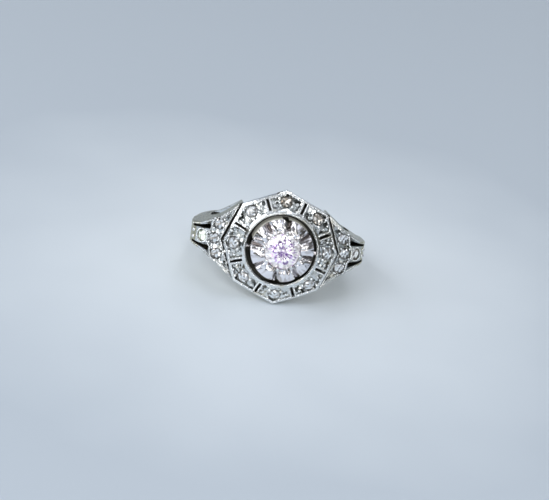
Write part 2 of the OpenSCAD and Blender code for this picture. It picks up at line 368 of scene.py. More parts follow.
    def _trial_object(self, name: str) -> bpy.types.Object:
        """Makes an object that holds this solid while a modifier works it.

        Args:
            name: the object's name.

        Returns:
            The object, linked to the scene.
        """
        mesh = bpy.data.meshes.new(name)
        self.body.to_mesh(mesh)
        trial = bpy.data.objects.new(name, mesh)
        bpy.context.scene.collection.objects.link(trial)
        return trial

    def softened(self, width: float, sharper: float = 35.0, flat: float = 0.6,
                 near: float = 0.002) -> "Solid":
        """The same solid with its sharp edges rounded, as polishing leaves them.

        Args:
            width: width of the rounding.
            sharper: edges that turn by more than this many degrees are rounded.
            flat: faces that turn by less than this many degrees are first made one.
            near: points nearer to each other than this are merged before that.

        Returns:
            This solid.
        """
        bmesh.ops.remove_doubles(self.body, verts=list(self.body.verts), dist=near)
        bmesh.ops.dissolve_degenerate(self.body, edges=list(self.body.edges), dist=near)
        bmesh.ops.dissolve_limit(
            self.body, angle_limit=math.radians(flat), verts=list(self.body.verts),
            edges=list(self.body.edges),
        )
        limit = math.radians(sharper)
        edges = [
            e for e in self.body.edges
            if e.is_manifold and e.calc_face_angle() > limit and e.calc_length() > width
        ]
        bmesh.ops.bevel(
            self.body, geom=edges, offset=width, offset_type="OFFSET", segments=2,
            profile=0.5, affect="EDGES", clamp_overlap=True, material=-1,
        )
        return self

    def without_scraps(self, thin: float = 0.0002, fewest: int = 4) -> "Solid":
        """The same solid without the flat scraps that cutting and rounding leave on it.

        Args:
            thin: edges shorter than this are taken out.
            fewest: the fewest faces that a closed shell can have; a smaller one is a scrap.

        Returns:
            This solid.
        """
        bmesh.ops.dissolve_degenerate(self.body, edges=list(self.body.edges), dist=thin)
        bends = [v for v in self.body.verts if len(v.link_edges) == 2]
        bmesh.ops.dissolve_verts(self.body, verts=bends)
        seen: set[bmesh.types.BMFace] = set()
        scraps = []
        for start in self.body.faces:
            if start in seen:
                continue
            seen.add(start)
            shell = [start]
            for face in shell:
                near = [f for edge in face.edges if edge.is_manifold for f in edge.link_faces]
                fresh = [f for f in near if f not in seen]
                seen.update(fresh)
                shell += fresh
            if len(shell) < fewest:
                scraps += shell
        bmesh.ops.delete(self.body, geom=scraps, context="FACES")
        return self

    def painted(self, slot: int, where: Callable[[Vector, Vector], bool]) -> "Solid":
        """The same solid with some faces in another finish.

        Args:
            slot: number of the finish.
            where: tells from a face's middle and its normal whether the face takes it.

        Returns:
            This solid.
        """
        for face in self.body.faces:
            if where(face.calc_center_median(), face.normal):
                face.material_index = slot
        return self

    def piece(self, name: str, lay: RingLay, *materials: Material) -> None:
        """Makes the finished object, which rides on the ring's body and stands for its metal.

        Args:
            name: the piece's name.
            lay: how the ring lies.
            materials: its finishes, in the order of their numbers.
        """
        self.without_scraps()
        bmesh.ops.transform(self.body, matrix=lay.matrix(), verts=list(self.body.verts))
        mesh = bpy.data.meshes.new(name)
        self.body.to_mesh(mesh)
        self.body.free()
        mesh.shade_smooth()
        mesh.set_sharp_from_angle(angle=math.radians(SHARP_EDGE))
        for material in materials:
            mesh.materials.append(material)
        piece = bpy.data.objects.new(name, mesh)
        bpy.context.scene.collection.objects.link(piece)
        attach(piece, BODY)
        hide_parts(METAL_NODE)
        log.info("%s: %d faces", name, len(mesh.polygons))


class NodeSheet:
    """Writes a tree of shader nodes one by one."""

    def __init__(self, owner: Material | bpy.types.World, coordinates: str = "Object"
                 ) -> None:
        """Starts from the shader that a new tree holds.

        Args:
            owner: the material or the room that the tree belongs to.
            coordinates: the coordinates that its patterns read.
        """
        owner.use_nodes = True
        self.owner = owner
        self.tree = owner.node_tree
        self.shader = next(n for n in self.tree.nodes if n.type in ("BSDF_PRINCIPLED", "BACKGROUND"))
        self.place = self.node("ShaderNodeTexCoord").outputs[coordinates]

    def node(self, kind: str, **settings: object) -> bpy.types.Node:
        """A new node with its settings.

        Args:
            kind: the node's type.
            settings: value of each of its own settings.

        Returns:
            The node.
        """
        node = self.tree.nodes.new(kind)
        for key, value in settings.items():
            setattr(node, key, value)
        return node

    def link(self, source: Socket, target: Socket) -> None:
        """Links two sockets."""
        self.tree.links.new(source, target)

    def parts(self, value: Socket) -> tuple[Socket, ...]:
        """The three parts of a place or of a colour.

        Args:
            value: socket of the place or the colour.

        Returns:
            A socket for each part.
        """
        is_colour = value.type == "RGBA"
        node = self.node("ShaderNodeSeparateColor" if is_colour else "ShaderNodeSeparateXYZ")
        self.link(value, node.inputs[0])
        return tuple(node.outputs)

    def joined(self, x: Socket, y: Socket,
               z: Socket | None = None) -> Socket:
        """A place made from its parts.

        Args:
            x: its first part.
            y: its second part.
            z: its third part, or None for zero.

        Returns:
            The socket with the place.
        """
        node = self.node("ShaderNodeCombineXYZ")
        for part, socket in zip((x, y, z), node.inputs):
            if part:
                self.link(part, socket)
        return node.outputs[0]

    def noise(self, scale: float, detail: float = 3.0, place: Socket | None = None,
              rough: float = 0.55) -> Socket:
        """Noise over the sheet's own coordinates.

        Args:
            scale: number of waves in a unit of the coordinates.
            detail: number of finer noises laid over the first.
            place: other coordinates, where the pattern is stretched.
            rough: strength of the finer noises.

        Returns:
            The noise, from 0 to 1.
        """
        node = self.node("ShaderNodeTexNoise")
        node.inputs["Scale"].default_value = scale
        node.inputs["Detail"].default_value = detail
        node.inputs["Roughness"].default_value = rough
        self.link(place or self.place, node.inputs["Vector"])
        return node.outputs["Fac"]

    def spread(self, value: Socket, low: float, high: float, start: float,
               end: float) -> Socket:
        """A value spread from one range to another and held inside it.

        Args:
            value: socket with the value.
            low: lower end of the first range.
            high: its upper end.
            start: what the lower end becomes.
            end: what the upper end becomes.

        Returns:
            The new value.
        """
        node = self.node("ShaderNodeMapRange", clamp=True)
        self.link(value, node.inputs["Value"])
        for key, number in zip(("From Min", "From Max", "To Min", "To Max"), (low, high, start, end)):
            node.inputs[key].default_value = number
        return node.outputs["Result"]

    def mix(self, share: Socket, first: Colour | Socket,
            second: Colour | Socket) -> Socket:
        """A mix of two colours.

        Args:
            share: share of the second colour.
            first: a colour or a socket with one.
            second: another.

        Returns:
            The socket with the mixed colour.
        """
        node = self.node("ShaderNodeMix", data_type="RGBA")
        self.link(share, node.inputs["Factor"])
        for key, colour in (("A", first), ("B", second)):
            socket = next(s for s in node.inputs if s.name == key and s.type == "RGBA")
            if isinstance(colour, Socket):
                self.link(colour, socket)
            else:
                socket.default_value = (*colour, 1.0)
        return next(s for s in node.outputs if s.type == "RGBA")

    def math(self, operation: str, first: Socket | float,
             second: Socket | float = 0.0) -> Socket:
        """The outcome of a sum on one or two values.

        Args:
            operation: the sum, as the node names it.
            first: a value or a socket.
            second: another, where the sum needs it.

        Returns:
            The socket with the outcome.
        """
        node = self.node("ShaderNodeMath", operation=operation)
        for socket, value in zip(node.inputs, (first, second)):
            if isinstance(value, Socket):
                self.link(value, socket)
            else:
                socket.default_value = value
        return node.outputs[0]

    def own_place(self, place: Matrix) -> Socket:
        """The sheet's coordinates, taken into a small part's own frame.

        Args:
            place: the part's frame.

        Returns:
            The socket with the place in that frame.
        """
        own = self.node("ShaderNodeMapping", vector_type="TEXTURE")
        own.inputs["Location"].default_value = place.to_translation()
        own.inputs["Rotation"].default_value = place.to_euler()
        own.inputs["Scale"].default_value = place.to_scale()
        self.link(self.place, own.inputs["Vector"])
        return own.outputs[0]

    def round_place(self, place: Socket
                    ) -> tuple[Socket, Socket]:
        """Turn about a part's axis and distance from it.

        Args:
            place: socket with the place in the part's frame.

        Returns:
            The turn in radians and the distance.
        """
        x, y, _ = self.parts(place)
        square = self.math("ADD", self.math("POWER", x, 2.0), self.math("POWER", y, 2.0))
        return self.math("ARCTAN2", y, x), self.math("SQRT", square)

    def tilted_normal(self, way: Socket, reach: float) -> Socket:
        """The surface's normal, tilted by a colour that stands for a direction.

        Args:
            way: colour whose parts run from 0 to 1.
            reach: how far the colour tilts the normal.

        Returns:
            The new normal.
        """
        geometry = self.node("ShaderNodeNewGeometry")
        shift = self.node("ShaderNodeVectorMath", operation="MULTIPLY_ADD")
        self.link(way, shift.inputs[0])
        shift.inputs[1].default_value = (2 * reach,) * 3
        shift.inputs[2].default_value = (-reach,) * 3
        total = self.node("ShaderNodeVectorMath", operation="ADD")
        self.link(geometry.outputs["Normal"], total.inputs[0])
        self.link(shift.outputs[0], total.inputs[1])
        unit = self.node("ShaderNodeVectorMath", operation="NORMALIZE")
        self.link(total.outputs[0], unit.inputs[0])
        return unit.outputs[0]

    def bumped_normal(self, height: Socket, strength: float, depth: float,
                      under: Socket | None = None) -> Socket:
        """The normal of a surface that a pattern dents.

        Args:
            height: the pattern.
            strength: how much of it shows, from 0 to 1.
            depth: depth of the dents, in metres.
            under: normal of the surface before, where it isn't plain.

        Returns:
            The new normal.
        """
        node = self.node("ShaderNodeBump")
        node.inputs["Strength"].default_value = strength
        node.inputs["Distance"].default_value = depth
        self.link(height, node.inputs["Height"])
        if under:
            self.link(under, node.inputs["Normal"])
        return node.outputs["Normal"]


@dataclass(frozen=True)
class WhiteGold:
    """Old white gold: polished, softly scratched, and darker in corners with dirt and painted shade.

    Attributes:
        clean: colour of the polished metal.
        warm: colour where the plating has worn thin.
        dirt_and_shade: colour in the crevices, as dirt and as painted shade.
        gloss: roughness of the best polished places.
        dull: roughness of the worn places.
        crevice: reach of the dirt and the painted shade out of a corner, in metres.
        warmth: how much of the surface is worn warm, from 0 to 1.
        dents: strength of the soft dents of handwork.
        cut_tilt: how far the graver's cuts turn away from the surface, or 0 for none.
        ray_count: number of cuts round an axis.
        ray_breaks: number of cuts a millimetre along a ray.
        metal: share of the look that is metal; the rest is a dull skin.
        painted_bounce_glow: painted glow that stands for light bouncing onto a narrow place between bright
            walls.
        lobes: number of lobes round the axis, or 0 for none.
        lobe_turn: angle of the first lobe, in degrees.
        skin: colour of the old skin on the sides.
        skin_reach: heights, in millimetres, between which that skin sets in, where there is one.
        skin_ragged: how far the skin's border strays, in millimetres.
        painted_shade: painted shade between the lobes and on some cuts.
        painted_shade_reach: distances from the axis, in millimetres, between which that painted shade sets
            in.
    """

    clean: Colour
    warm: Colour = (0.56, 0.53, 0.43)
    dirt_and_shade: Colour = (0.035, 0.034, 0.027)
    gloss: float = 0.13
    dull: float = 0.30
    crevice: float = 0.00035
    warmth: float = 0.35
    dents: float = 0.3
    cut_tilt: float = 0.0
    cut_scale: float = 2600.0
    ray_count: int = 72
    ray_breaks: float = 1.1
    metal: float = 1.0
    painted_bounce_glow: float = 0.0
    lobes: int = 0
    lobe_turn: float = 0.0
    skin: Colour = (0.46, 0.44, 0.32)
    skin_reach: Point | None = None
    skin_ragged: float = 2.0
    painted_shade: Colour = (0.27, 0.235, 0.22)
    painted_shade_reach: Point = (2.1, 2.8)
    worn_scale: float = 900.0
    skin_scale: float = 1200.0
    dirt_and_shade_scale: float = 2600.0
    polish_scale: float = 3800.0
    dent_scale: float = 1700.0
    dent_depth: float = 0.00012
    scratch_scale: float = 14000.0
    scratch_depth: float = 0.00002

    def material(self, name: str, frame_of: Matrix | None = None) -> Material:
        """Builds the finish.

        Args:
            name: the material's name.
            frame_of: frame of the part that the lobes or the skin follow, where there are some.

        Returns:
            The material.
        """
        sheet = NodeSheet(bpy.data.materials.new(name))
        sockets = sheet.shader.inputs
        sockets["Metallic"].default_value = self.metal
        sockets["Emission Color"].default_value = (*self.clean, 1.0)
        sockets["Emission Strength"].default_value = self.painted_bounce_glow
        own = sheet.own_place(frame_of) if frame_of else None
        round_way = sheet.round_place(own) if self.lobes else None
        cuts = self.cuts(sheet, round_way) if self.cut_tilt else None
        worn = sheet.noise(self.worn_scale, 4.0)
        worn = sheet.spread(worn, 0.62 - 0.4 * self.warmth, 0.8, 0.0, 1.0)
        metal = sheet.mix(worn, self.clean, self.warm)
        if self.skin_reach:
            # the old skin grows towards the head with a ragged border
            ragged = sheet.math("MULTIPLY", sheet.noise(self.skin_scale, 4.0), self.skin_ragged)
            height = sheet.math("ADD", sheet.parts(own)[2], ragged)
            metal = sheet.mix(sheet.spread(height, *self.skin_reach, 0.0, 1.0), metal, self.skin)
        if self.lobes:
            # painted shade: some cuts are darkened in streaks, and dark bands lie between the lobes
            streak_shade = sheet.spread(sheet.parts(cuts)[2], 0.55, 0.95, 0.0, 0.6)
            metal = sheet.mix(streak_shade, metal, self.painted_shade)
            metal = sheet.mix(self.between_lobes(sheet, *round_way), metal, self.painted_shade)
        # darker in corners, in uneven patches: settled dirt and painted shade
        corner = sheet.node("ShaderNodeAmbientOcclusion", samples=8)
        corner.inputs["Distance"].default_value = self.crevice
        occluded = sheet.spread(corner.outputs["AO"], 0.12, 0.55, 1.0, 0.0)
        patchy = sheet.spread(sheet.noise(self.dirt_and_shade_scale, 3.0), 0.3, 0.6, 0.6, 1.0)
        dirt_and_shade_share = sheet.math("MULTIPLY", occluded, patchy)
        sheet.link(sheet.mix(dirt_and_shade_share, metal, self.dirt_and_shade), sockets["Base Color"])
        polish = sheet.spread(sheet.noise(self.polish_scale, 5.0), 0.35, 0.7, self.gloss, self.dull)
        rough = sheet.math("ADD", polish, sheet.math("MULTIPLY", dirt_and_shade_share, 0.3))
        sheet.link(rough, sockets["Roughness"])
        sheet.link(self.normal(sheet, cuts), sockets["Normal"])
        return sheet.owner

    def cuts(self, sheet: NodeSheet, round_way: tuple[Socket, ...] | None
             ) -> Socket:
        """A colour for each cut of the graver.

        Args:
            sheet: the material's sheet.
            round_way: turn and distance from the axis that the cuts point to, or None for cuts
                without order.

        Returns:
            The socket with the colour, which stands for a direction. Round an axis the cells are
            long narrow cuts that point to it.
        """
        cells = sheet.node("ShaderNodeTexVoronoi", feature="F1")
        cells.inputs["Scale"].default_value = 1.0 if round_way else self.cut_scale
        place = sheet.place
        if round_way:
            turn = sheet.math("MULTIPLY", round_way[0], self.ray_count / (2 * math.pi))
            place = sheet.joined(turn, sheet.math("MULTIPLY", round_way[1], self.ray_breaks))
        sheet.link(place, cells.inputs["Vector"])
        return cells.outputs["Color"]

    def between_lobes(self, sheet: NodeSheet, turn: Socket,
                      radius: Socket) -> Socket:
        """Share of the painted shade between the lobes, strongest at the cup's edge.

        Args:
            sheet: the material's sheet.
            turn: turn about the cup's axis.
            radius: distance from it.

        Returns:
            The share, which is smaller on the side of the floor.
        """
        start = 0.5 - self.lobe_turn * self.lobes / 360
        lobe = sheet.math("MULTIPLY", turn, self.lobes / (2 * math.pi))
        fold = sheet.math("SUBTRACT", sheet.math("FRACT", sheet.math("ADD", lobe, start)), 0.5)
        ragged = sheet.math("MULTIPLY", sheet.noise(3500.0, 3.0), 0.22)
        share = sheet.math("ADD", sheet.math("ABSOLUTE", fold), ragged)
        band = sheet.spread(share, 0.47, 0.56, 0.0, 1.0)
        upper = sheet.spread(sheet.math("SINE", turn), -0.9, 0.3, 0.4, 1.0)
        outer = sheet.spread(radius, *self.painted_shade_reach, 0.3, 0.85)
        return sheet.math("MULTIPLY", sheet.math("MULTIPLY", band, upper), outer)

    def normal(self, sheet: NodeSheet, cuts: Socket | None) -> Socket:
        """The surface's normal with the graver's cuts, the dents and the fine scratches.

        Args:
            sheet: the material's sheet.
            cuts: colour of each cut, where there are some.

        Returns:
            The normal.
        """
        under = sheet.tilted_normal(cuts, self.cut_tilt) if cuts else None
        soft = sheet.noise(self.dent_scale, 2.0)
        dented = sheet.bumped_normal(soft, self.dents, self.dent_depth, under)
        stretch = sheet.node("ShaderNodeMapping")
        stretch.inputs["Scale"].default_value = (1.0, 0.25, 1.0)
        stretch.inputs["Rotation"].default_value = (0.3, 0.5, 0.8)
        sheet.link(sheet.place, stretch.inputs["Vector"])
        fine = sheet.noise(self.scratch_scale, 4.0, stretch.outputs["Vector"], 0.7)
        return sheet.bumped_normal(fine, 0.2, self.scratch_depth, dented)


@dataclass(frozen=True)
class MetalFinishes:
    """The finishes that several pieces of metal share.

    Attributes:
        polished: the head and the left shoulder.
        bright: grains and milgrain.
        bright_cut: bright cuts in the stone fields, darker than the polished border as painted shade.
        dull: the right shoulder, worn warmer and darkened as painted shade.
        shaded_dull_cut: the cuts in its stone field, darkened as painted shade.
        worn: the shank, the sides and all that faces the finger.
        oxide_and_painted_shade: slots, piercings and other narrow hollows, dark as oxide and as painted
            shade.
    """

    polished: Material
    bright: Material
    bright_cut: Material
    dull: Material
    shaded_dull_cut: Material
    worn: Material
    oxide_and_painted_shade: Material

    @classmethod
    def made(cls, lay: RingLay) -> "MetalFinishes":
        """Builds the finishes.

        Args:
            lay: how the ring lies.

        Returns:
            The finishes, as materials.
        """
        kinds = {
            "polished": WhiteGold(
                clean=(0.825, 0.845, 0.85), dirt_and_shade=CORNER_DIRT_AND_SHADE, gloss=0.09, dull=0.2, warmth=0.2,
                cut_tilt=0.1, cut_scale=1500.0,
            ),
            "bright": WhiteGold(
                clean=(0.865, 0.88, 0.885), dirt_and_shade=CORNER_DIRT_AND_SHADE, gloss=0.06, dull=0.14, crevice=0.0002,
                warmth=0.1,
            ),
            # darker than the polished border, as painted shade in the sunk fields
            "bright_cut": WhiteGold(
                clean=(0.68, 0.70, 0.70), dirt_and_shade=CORNER_DIRT_AND_SHADE, gloss=0.07, dull=0.16, warmth=0.2, cut_tilt=0.5,
            ),
            # the right shoulder's finishes are darker copies, as painted shade
            "dull": WhiteGold(
                clean=(0.57, 0.59, 0.575), warm=(0.42, 0.42, 0.34), dirt_and_shade=CORNER_DIRT_AND_SHADE, gloss=0.12, dull=0.3,
                warmth=0.5, cut_tilt=0.1, cut_scale=1500.0,
            ),
            "shaded_dull_cut": WhiteGold(
                clean=(0.47, 0.485, 0.475), warm=(0.35, 0.345, 0.28), dirt_and_shade=CORNER_DIRT_AND_SHADE, gloss=0.1,
                dull=0.25, warmth=0.4, cut_tilt=0.5,
            ),
            "worn": WhiteGold(
                clean=(0.60, 0.59, 0.525), warm=(0.47, 0.45, 0.365), warmth=0.5, gloss=0.16,
                dull=0.34, skin_reach=(-4.0, 7.0),
            ),
            # dark as oxide and as painted shade in the narrow hollows
            "oxide_and_painted_shade": WhiteGold(
                clean=(0.10, 0.096, 0.085), warm=(0.065, 0.06, 0.045), dirt_and_shade=(0.022, 0.021, 0.018),
                gloss=0.4, dull=0.6, crevice=0.0008,
            ),
        }
        made = {}
        for name, kind in kinds.items():
            place = lay.matrix() if kind.skin_reach else None
            made[name] = kind.material(f"white_gold_{name}", place)
        return cls(**made)


@dataclass(frozen=True)
class CutStone:
    """A cut diamond whose patches are painted reflections: each mirrors the room in a direction of its
    own.

    Attributes:
        white: colour of the bright patches, a painted highlight.
        fire: colour of the tinted patches, a painted coloured reflection.
        deep: colour of the dark patches, a painted dark reflection.
        patch: number of patches a millimetre.
        tilt: how far a patch turns away from its facet.
        mirror: share of the look that is mirrored, from 0 to 1.
        painted_glow: painted glow that stands for the light that the bright patches send back from inside.
        star: number of equal sectors round the stone's axis, or 0 for patches without order.
        fire_from: a higher value makes the tinted patches rarer.
        deep_from: a higher value makes the dark patches rarer.
        deep_fade: how fast the dark patches grow rare away from the middle, as fire_fade is for
            the tinted ones.
        rim_r: distance from the axis, in millimetres, at which the shaded rim starts; a distance
            past the girdle leaves the stone without one.
        rim_shade: share of the dark colour in the rim.
        gleam: index of the clear coat that stands for the polished facets.
    """

    white: Colour = (0.82, 0.855, 0.89)
    fire: Colour = (0.50, 0.48, 0.46)
    deep: Colour = (0.20, 0.195, 0.19)
    patch: float = 3.6
    tilt: float = 0.55
    mirror: float = 0.75
    painted_glow: float = 0.08
    star: int = 0
    fire_from: float = 0.56
    deep_from: float = 0.78
    deep_fade: float = 0.0
    fire_fade: float = 0.0
    rim_r: float = 0.53
    rim_w: float = 0.08
    rim_shade: float = 0.7
    roughness: float = 0.09
    gleam: float = 2.2

    def dress(self, name: str, place: Matrix) -> None:
        """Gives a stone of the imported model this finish.

        Args:
            name: the stone's name.
            place: its place, as for the material.
        """
        node = frame["nodes"][name]
        node.data.materials.clear()
        node.data.materials.append(self.material(f"diamond_{name}", place))
        log.info("%s: dressed", name)

    def material(self, name: str, place: Matrix) -> Material:
        """Builds the finish of one stone.

        Args:
            name: the material's name.
            place: place of the stone's middle in metres, with Z along its axis, in the scale of
                a millimetre.

        Returns:
            The material.
        """
        sheet = NodeSheet(bpy.data.materials.new(name))
        sockets = sheet.shader.inputs
        own = sheet.own_place(place)
        turn, radius = sheet.round_place(own)
        cells = sheet.node("ShaderNodeTexVoronoi", feature="F1")
        cells.inputs["Scale"].default_value = self.patch
        spot = self.sectors(sheet, turn, radius) if self.star else own
        sheet.link(spot, cells.inputs["Vector"])
        way = cells.outputs["Color"]
        red, green, _ = sheet.parts(way)
        fired = sheet.math("SUBTRACT", red, sheet.math("MULTIPLY", radius, self.fire_fade))
        tinted = sheet.spread(fired, self.fire_from, self.fire_from + 0.06, 0.0, 1.0)
        deepened = sheet.math("SUBTRACT", green, sheet.math("MULTIPLY", radius, self.deep_fade))
        dark = sheet.spread(deepened, self.deep_from, self.deep_from + 0.04, 0.0, 1.0)
        # painted reflections: bright, tinted and dark patches in the colour
        colour = sheet.mix(dark, sheet.mix(tinted, self.white, self.fire), self.deep)
        rim = sheet.spread(radius, self.rim_r, self.rim_r + self.rim_w, 0.0, self.rim_shade)
        colour = sheet.mix(rim, colour, self.deep)
        sheet.link(colour, sockets["Base Color"])
        # painted glow: the same colour is sent out as light
        sheet.link(colour, sockets["Emission Color"])
        sheet.link(sheet.tilted_normal(way, self.tilt), sockets["Normal"])
        sockets["Emission Strength"].default_value = self.painted_glow
        sockets["Metallic"].default_value = self.mirror
        sockets["Roughness"].default_value = self.roughness
        sockets["Coat Weight"].default_value = 1.0
        sockets["Coat Roughness"].default_value = 0.02
        sockets["Coat IOR"].default_value = self.gleam
        return sheet.owner

    def sectors(self, sheet: NodeSheet, turn: Socket, radius: Socket
                ) -> Socket:
        """Folds the turn and the radius into equal mirrored sectors, as the facets lie.

        Args:
            sheet: the material's sheet.
            turn: turn about the stone's axis.
            radius: distance from it.

        Returns:
            The coordinates, with a pattern of its own in each sector.
        """
        round_way = sheet.math("MULTIPLY", turn, self.star / (2 * math.pi))
        half = sheet.math("SUBTRACT", sheet.math("FRACT", round_way), 0.5)
        folded = sheet.math("MULTIPLY", sheet.math("ABSOLUTE", half), 1.5)
        sector = sheet.math("MULTIPLY", sheet.math("FLOOR", round_way), 5.3)
        return sheet.joined(folded, radius, sector)


@dataclass(frozen=True)
class PaleFloor:
    """A plain pale floor with a faint polish, painted paler round the ring as a pool of light.

    Attributes:
        colour: its colour under the ring, paler as a painted pool of light.
        outer: its colour farther out.
        light_pool_fade: distances from the ring, in metres, between which the painted pool of light fades.
        cloud: how far the soft clouds in that change shift it, in metres.
    """

    colour: Colour = (0.865, 0.935, 0.995)
    outer: Colour = (0.57, 0.64, 0.72)
    light_pool_fade: Point = (0.015, 0.055)
    cloud_scale: float = 40.0
    cloud: float = 0.02
    roughness: float = 0.42
    reach: float = 1.5

    def build(self) -> None:
        """Lays the floor at height zero."""
        body = bmesh.new()
        bmesh.ops.create_grid(body, x_segments=4, y_segments=4, size=self.reach)
        mesh = bpy.data.meshes.new("floor")
        body.to_mesh(mesh)
        body.free()
        mesh.materials.append(self.material())
        floor = bpy.data.objects.new("floor", mesh)
        bpy.context.scene.collection.objects.link(floor)

    def material(self) -> Material:
        """Builds the floor's finish.

        Returns:
            The material, which is painted paler round the ring as a pool of light.
        """
        sheet = NodeSheet(bpy.data.materials.new("pale_floor"))
        away = sheet.node("ShaderNodeVectorMath", operation="LENGTH")
        sheet.link(sheet.place, away.inputs[0])
        cloudy = sheet.math("MULTIPLY", sheet.noise(self.cloud_scale, 2.0), self.cloud)
        farther = sheet.math("ADD", away.outputs["Value"], cloudy)
        # painted pool of light: paler near the ring
        share = sheet.spread(farther, *self.light_pool_fade, 0.0, 1.0)
        sheet.link(sheet.mix(share, self.colour, self.outer), sheet.shader.inputs["Base Color"])
        sheet.shader.inputs["Roughness"].default_value = self.roughness
        return sheet.owner


@dataclass(frozen=True)
class StoneSeat:
    """The seat of a small stone: a straight wall, a cone and a hole.

    Attributes:
        cone_low: height of the cone's foot over the stone's girdle.
        cone_high: height of the cone's top.
        hole_low: height of the hole's foot.
    """

    cone_low: float
    cone_high: float
    reach: float
    gap: float = 0.04
    hole_r: float = 0.3
    hole_low: float = -2.0
    steps: int = 32

    def wide(self, stone_r: float) -> float:
        """Radius of the seat's wall for a stone."""
        return stone_r + self.gap

    def tool(self, stone_r: float) -> Solid:
        """The tool that cuts the seat.

        Args:
            stone_r: radius of the stone.

        Returns:
            The tool, with the stone's girdle at height zero.
        """
        wide = self.wide(stone_r)
        section = [
            (0, self.hole_low), (self.hole_r, self.hole_low), (self.hole_r, self.cone_low),
            (wide, self.cone_high), (wide, self.reach), (0, self.reach),
        ]
        return Solid.lathe(section, self.steps)


@dataclass
class HeadForm:
    """The octagonal outline and the dome that the head's pieces share.

    Attributes:
        head_r: distance from the middle of the head to its corners.
        slant_corner: angle of the four slanting corners from the line over the shoulders.
        edge_z: height of the corners above the middle of the finger hole.
        slope: slope of the dome, in degrees.
    """

    head_r: float = 6.45
    slant_corner: float = 42.5
    edge_z: float = 10.3
    edge_h: float = 0.55
    slope: float = 32.5
    opening_r: float = 3.95

    @property
    def edge_low_z(self) -> float:
        """Height of the edge's foot."""
        return self.edge_z - self.edge_h

    def dome_z(self, r: float) -> float:
        """Height of the dome at a distance from the head's axis."""
        return self.edge_z + (self.head_r - r) * math.tan(math.radians(self.slope))

    def on_dome(self, point: Point, lift: float = 0.0) -> Vector:
        """The place on the dome over a point of the head's drawing."""
        return Vector((*point, self.dome_z(math.hypot(*point)) + lift))

    def corners(self, r: float) -> list[Point]:
        """Corners of an octagon with the head's angles.

        Args:
            r: distance of the corners from the middle.

        Returns:
            The corners, from the right shoulder's side on.
        """
        slant = self.slant_corner
        turns = (0, slant, 90, 180 - slant, 180, 180 + slant, 270, 360 - slant)
        return [polar(r, a) for a in turns]

    def edge_point(self, start: Point, turn: float, r: float) -> Point:
        """Where a line meets the octagon.

        Args:
            start: a point inside the octagon.
            turn: direction of the line, in degrees.
            r: distance of the octagon's corners from the middle.

        Returns:
            The point where the line leaves the octagon.
        """
        heading = Vector(polar(1.0, turn))
        ring = [Vector(c) for c in self.corners(r)]
        origin = Vector(start)
        nearest = math.inf
        for a, b in zip(ring, ring[1:] + ring[:1]):
            side = b - a
            outward = Vector((side.y, -side.x))
            speed = heading.dot(outward)
            if speed > 0:
                nearest = min(nearest, (a - origin).dot(outward) / speed)
        return tuple(origin + nearest * heading)


@dataclass
class Shank:
    """The plain band under the shoulders.

    Attributes:
        ease: width of the easing along its inner edges.
        swell_l: distance below the shoulders over which the sides grow to swell_r.
        side_from: distance from the finger hole at which the sides start to grow.
        side_w: distance over which they come to grow fully.
        thin_l: distance over which the band grows thinner between the shoulders.
        widths: height above the middle of the hole and half width there, from the back up.
    """

    finger_r: float = 8.25
    middle_t: float = 1.0
    side_t: float = 0.5
    back_half: float = 0.9
    ease: float = 0.1
    top_r: float = 8.9
    shoulder_z: float = 0.2
    swell_r: float = 9.2
    swell_l: float = 4.0
    side_from: float = 0.2
    side_w: float = 0.3
    thin_l: float = 1.4
    widths: tuple[Point, ...] = ((-3.5, 0.9), (-0.4, 0.92), (1.5, 1.08), (6.0, 2.0), (9.0, 2.6))
    start: float = 30.0
    steps: int = 150
    crown_steps: int = 14

    def worked_radius(self, r: float, z: float) -> float:
        """Radius of a point of the band after working.

        Args:
            r: its radius before.
            z: its height above the middle of the hole.

        Returns:
            Its new radius: the band's sides grow to the start of the shoulders, and between the
            shoulders the band is thinner.
        """
        side = held((r - self.finger_r - self.side_from) / self.side_w)
        swell = held(1.0 + (z - self.shoulder_z) / self.swell_l) ** 2
        grown = r + side * swell * max(0.0, self.swell_r - r)
        share = held((z - self.shoulder_z) / self.thin_l)
        return grown + share * (min(grown, self.top_r) - grown)

    def section(self) -> list[Point]:
        """Section of the back of the band.

        Returns:
            Distance from the finger's axis and place along it of each corner.
        """
        rise = self.middle_t - self.side_t
        crown_r = (self.back_half**2 + rise**2) / (2 * rise)
        middle = self.finger_r + self.middle_t - crown_r
        half_turn = math.degrees(math.asin(self.back_half / crown_r))
        crown = arc((middle, 0.0), crown_r, -half_turn, half_turn, self.crown_steps)
        inner = [
            (self.finger_r + self.ease, self.back_half),
            (self.finger_r + 0.25 * self.ease, self.back_half - self.ease),
            (self.finger_r, self.back_half - 2.2 * self.ease), (self.finger_r, 0.0),
        ]
        return crown + inner + [(r, -y) for r, y in reversed(inner[:-1])]

    def band(self) -> Solid:
        """The band, spun round the finger and widened towards the head.

        Returns:
            The closed solid.
        """
        body = bmesh.new()
        turn = math.radians(self.start)
        ring = [
            body.verts.new((r * math.sin(turn), y, r * math.cos(turn))) for r, y in self.section()
        ]
        sides = [body.edges.new((a, b)) for a, b in zip(ring, ring[1:] + ring[:1])]
        bmesh.ops.spin(
            body, geom=ring + sides, cent=(0, 0, 0), axis=(0, 1, 0), dvec=(0, 0, 0),
            angle=2 * (math.pi - turn), steps=self.steps, use_merge=False, use_duplicate=False,
        )
        open_edges = [e for e in body.edges if e.is_boundary]
        bmesh.ops.holes_fill(body, edges=open_edges, sides=0)
        for vert in body.verts:
            r = math.hypot(vert.co.x, vert.co.z)
            new_r = self.worked_radius(r, vert.co.z)
            vert.co.x *= new_r / r
            vert.co.y *= value_on(self.widths, vert.co.z) / self.back_half
            vert.co.z *= new_r / r
        bmesh.ops.recalc_face_normals(body, faces=list(body.faces))
        return Solid(body)

    def build(self, lay: RingLay, finishes: MetalFinishes) -> None:
        """Makes the band's piece."""
        self.band().piece("shank_band", lay, finishes.worn)


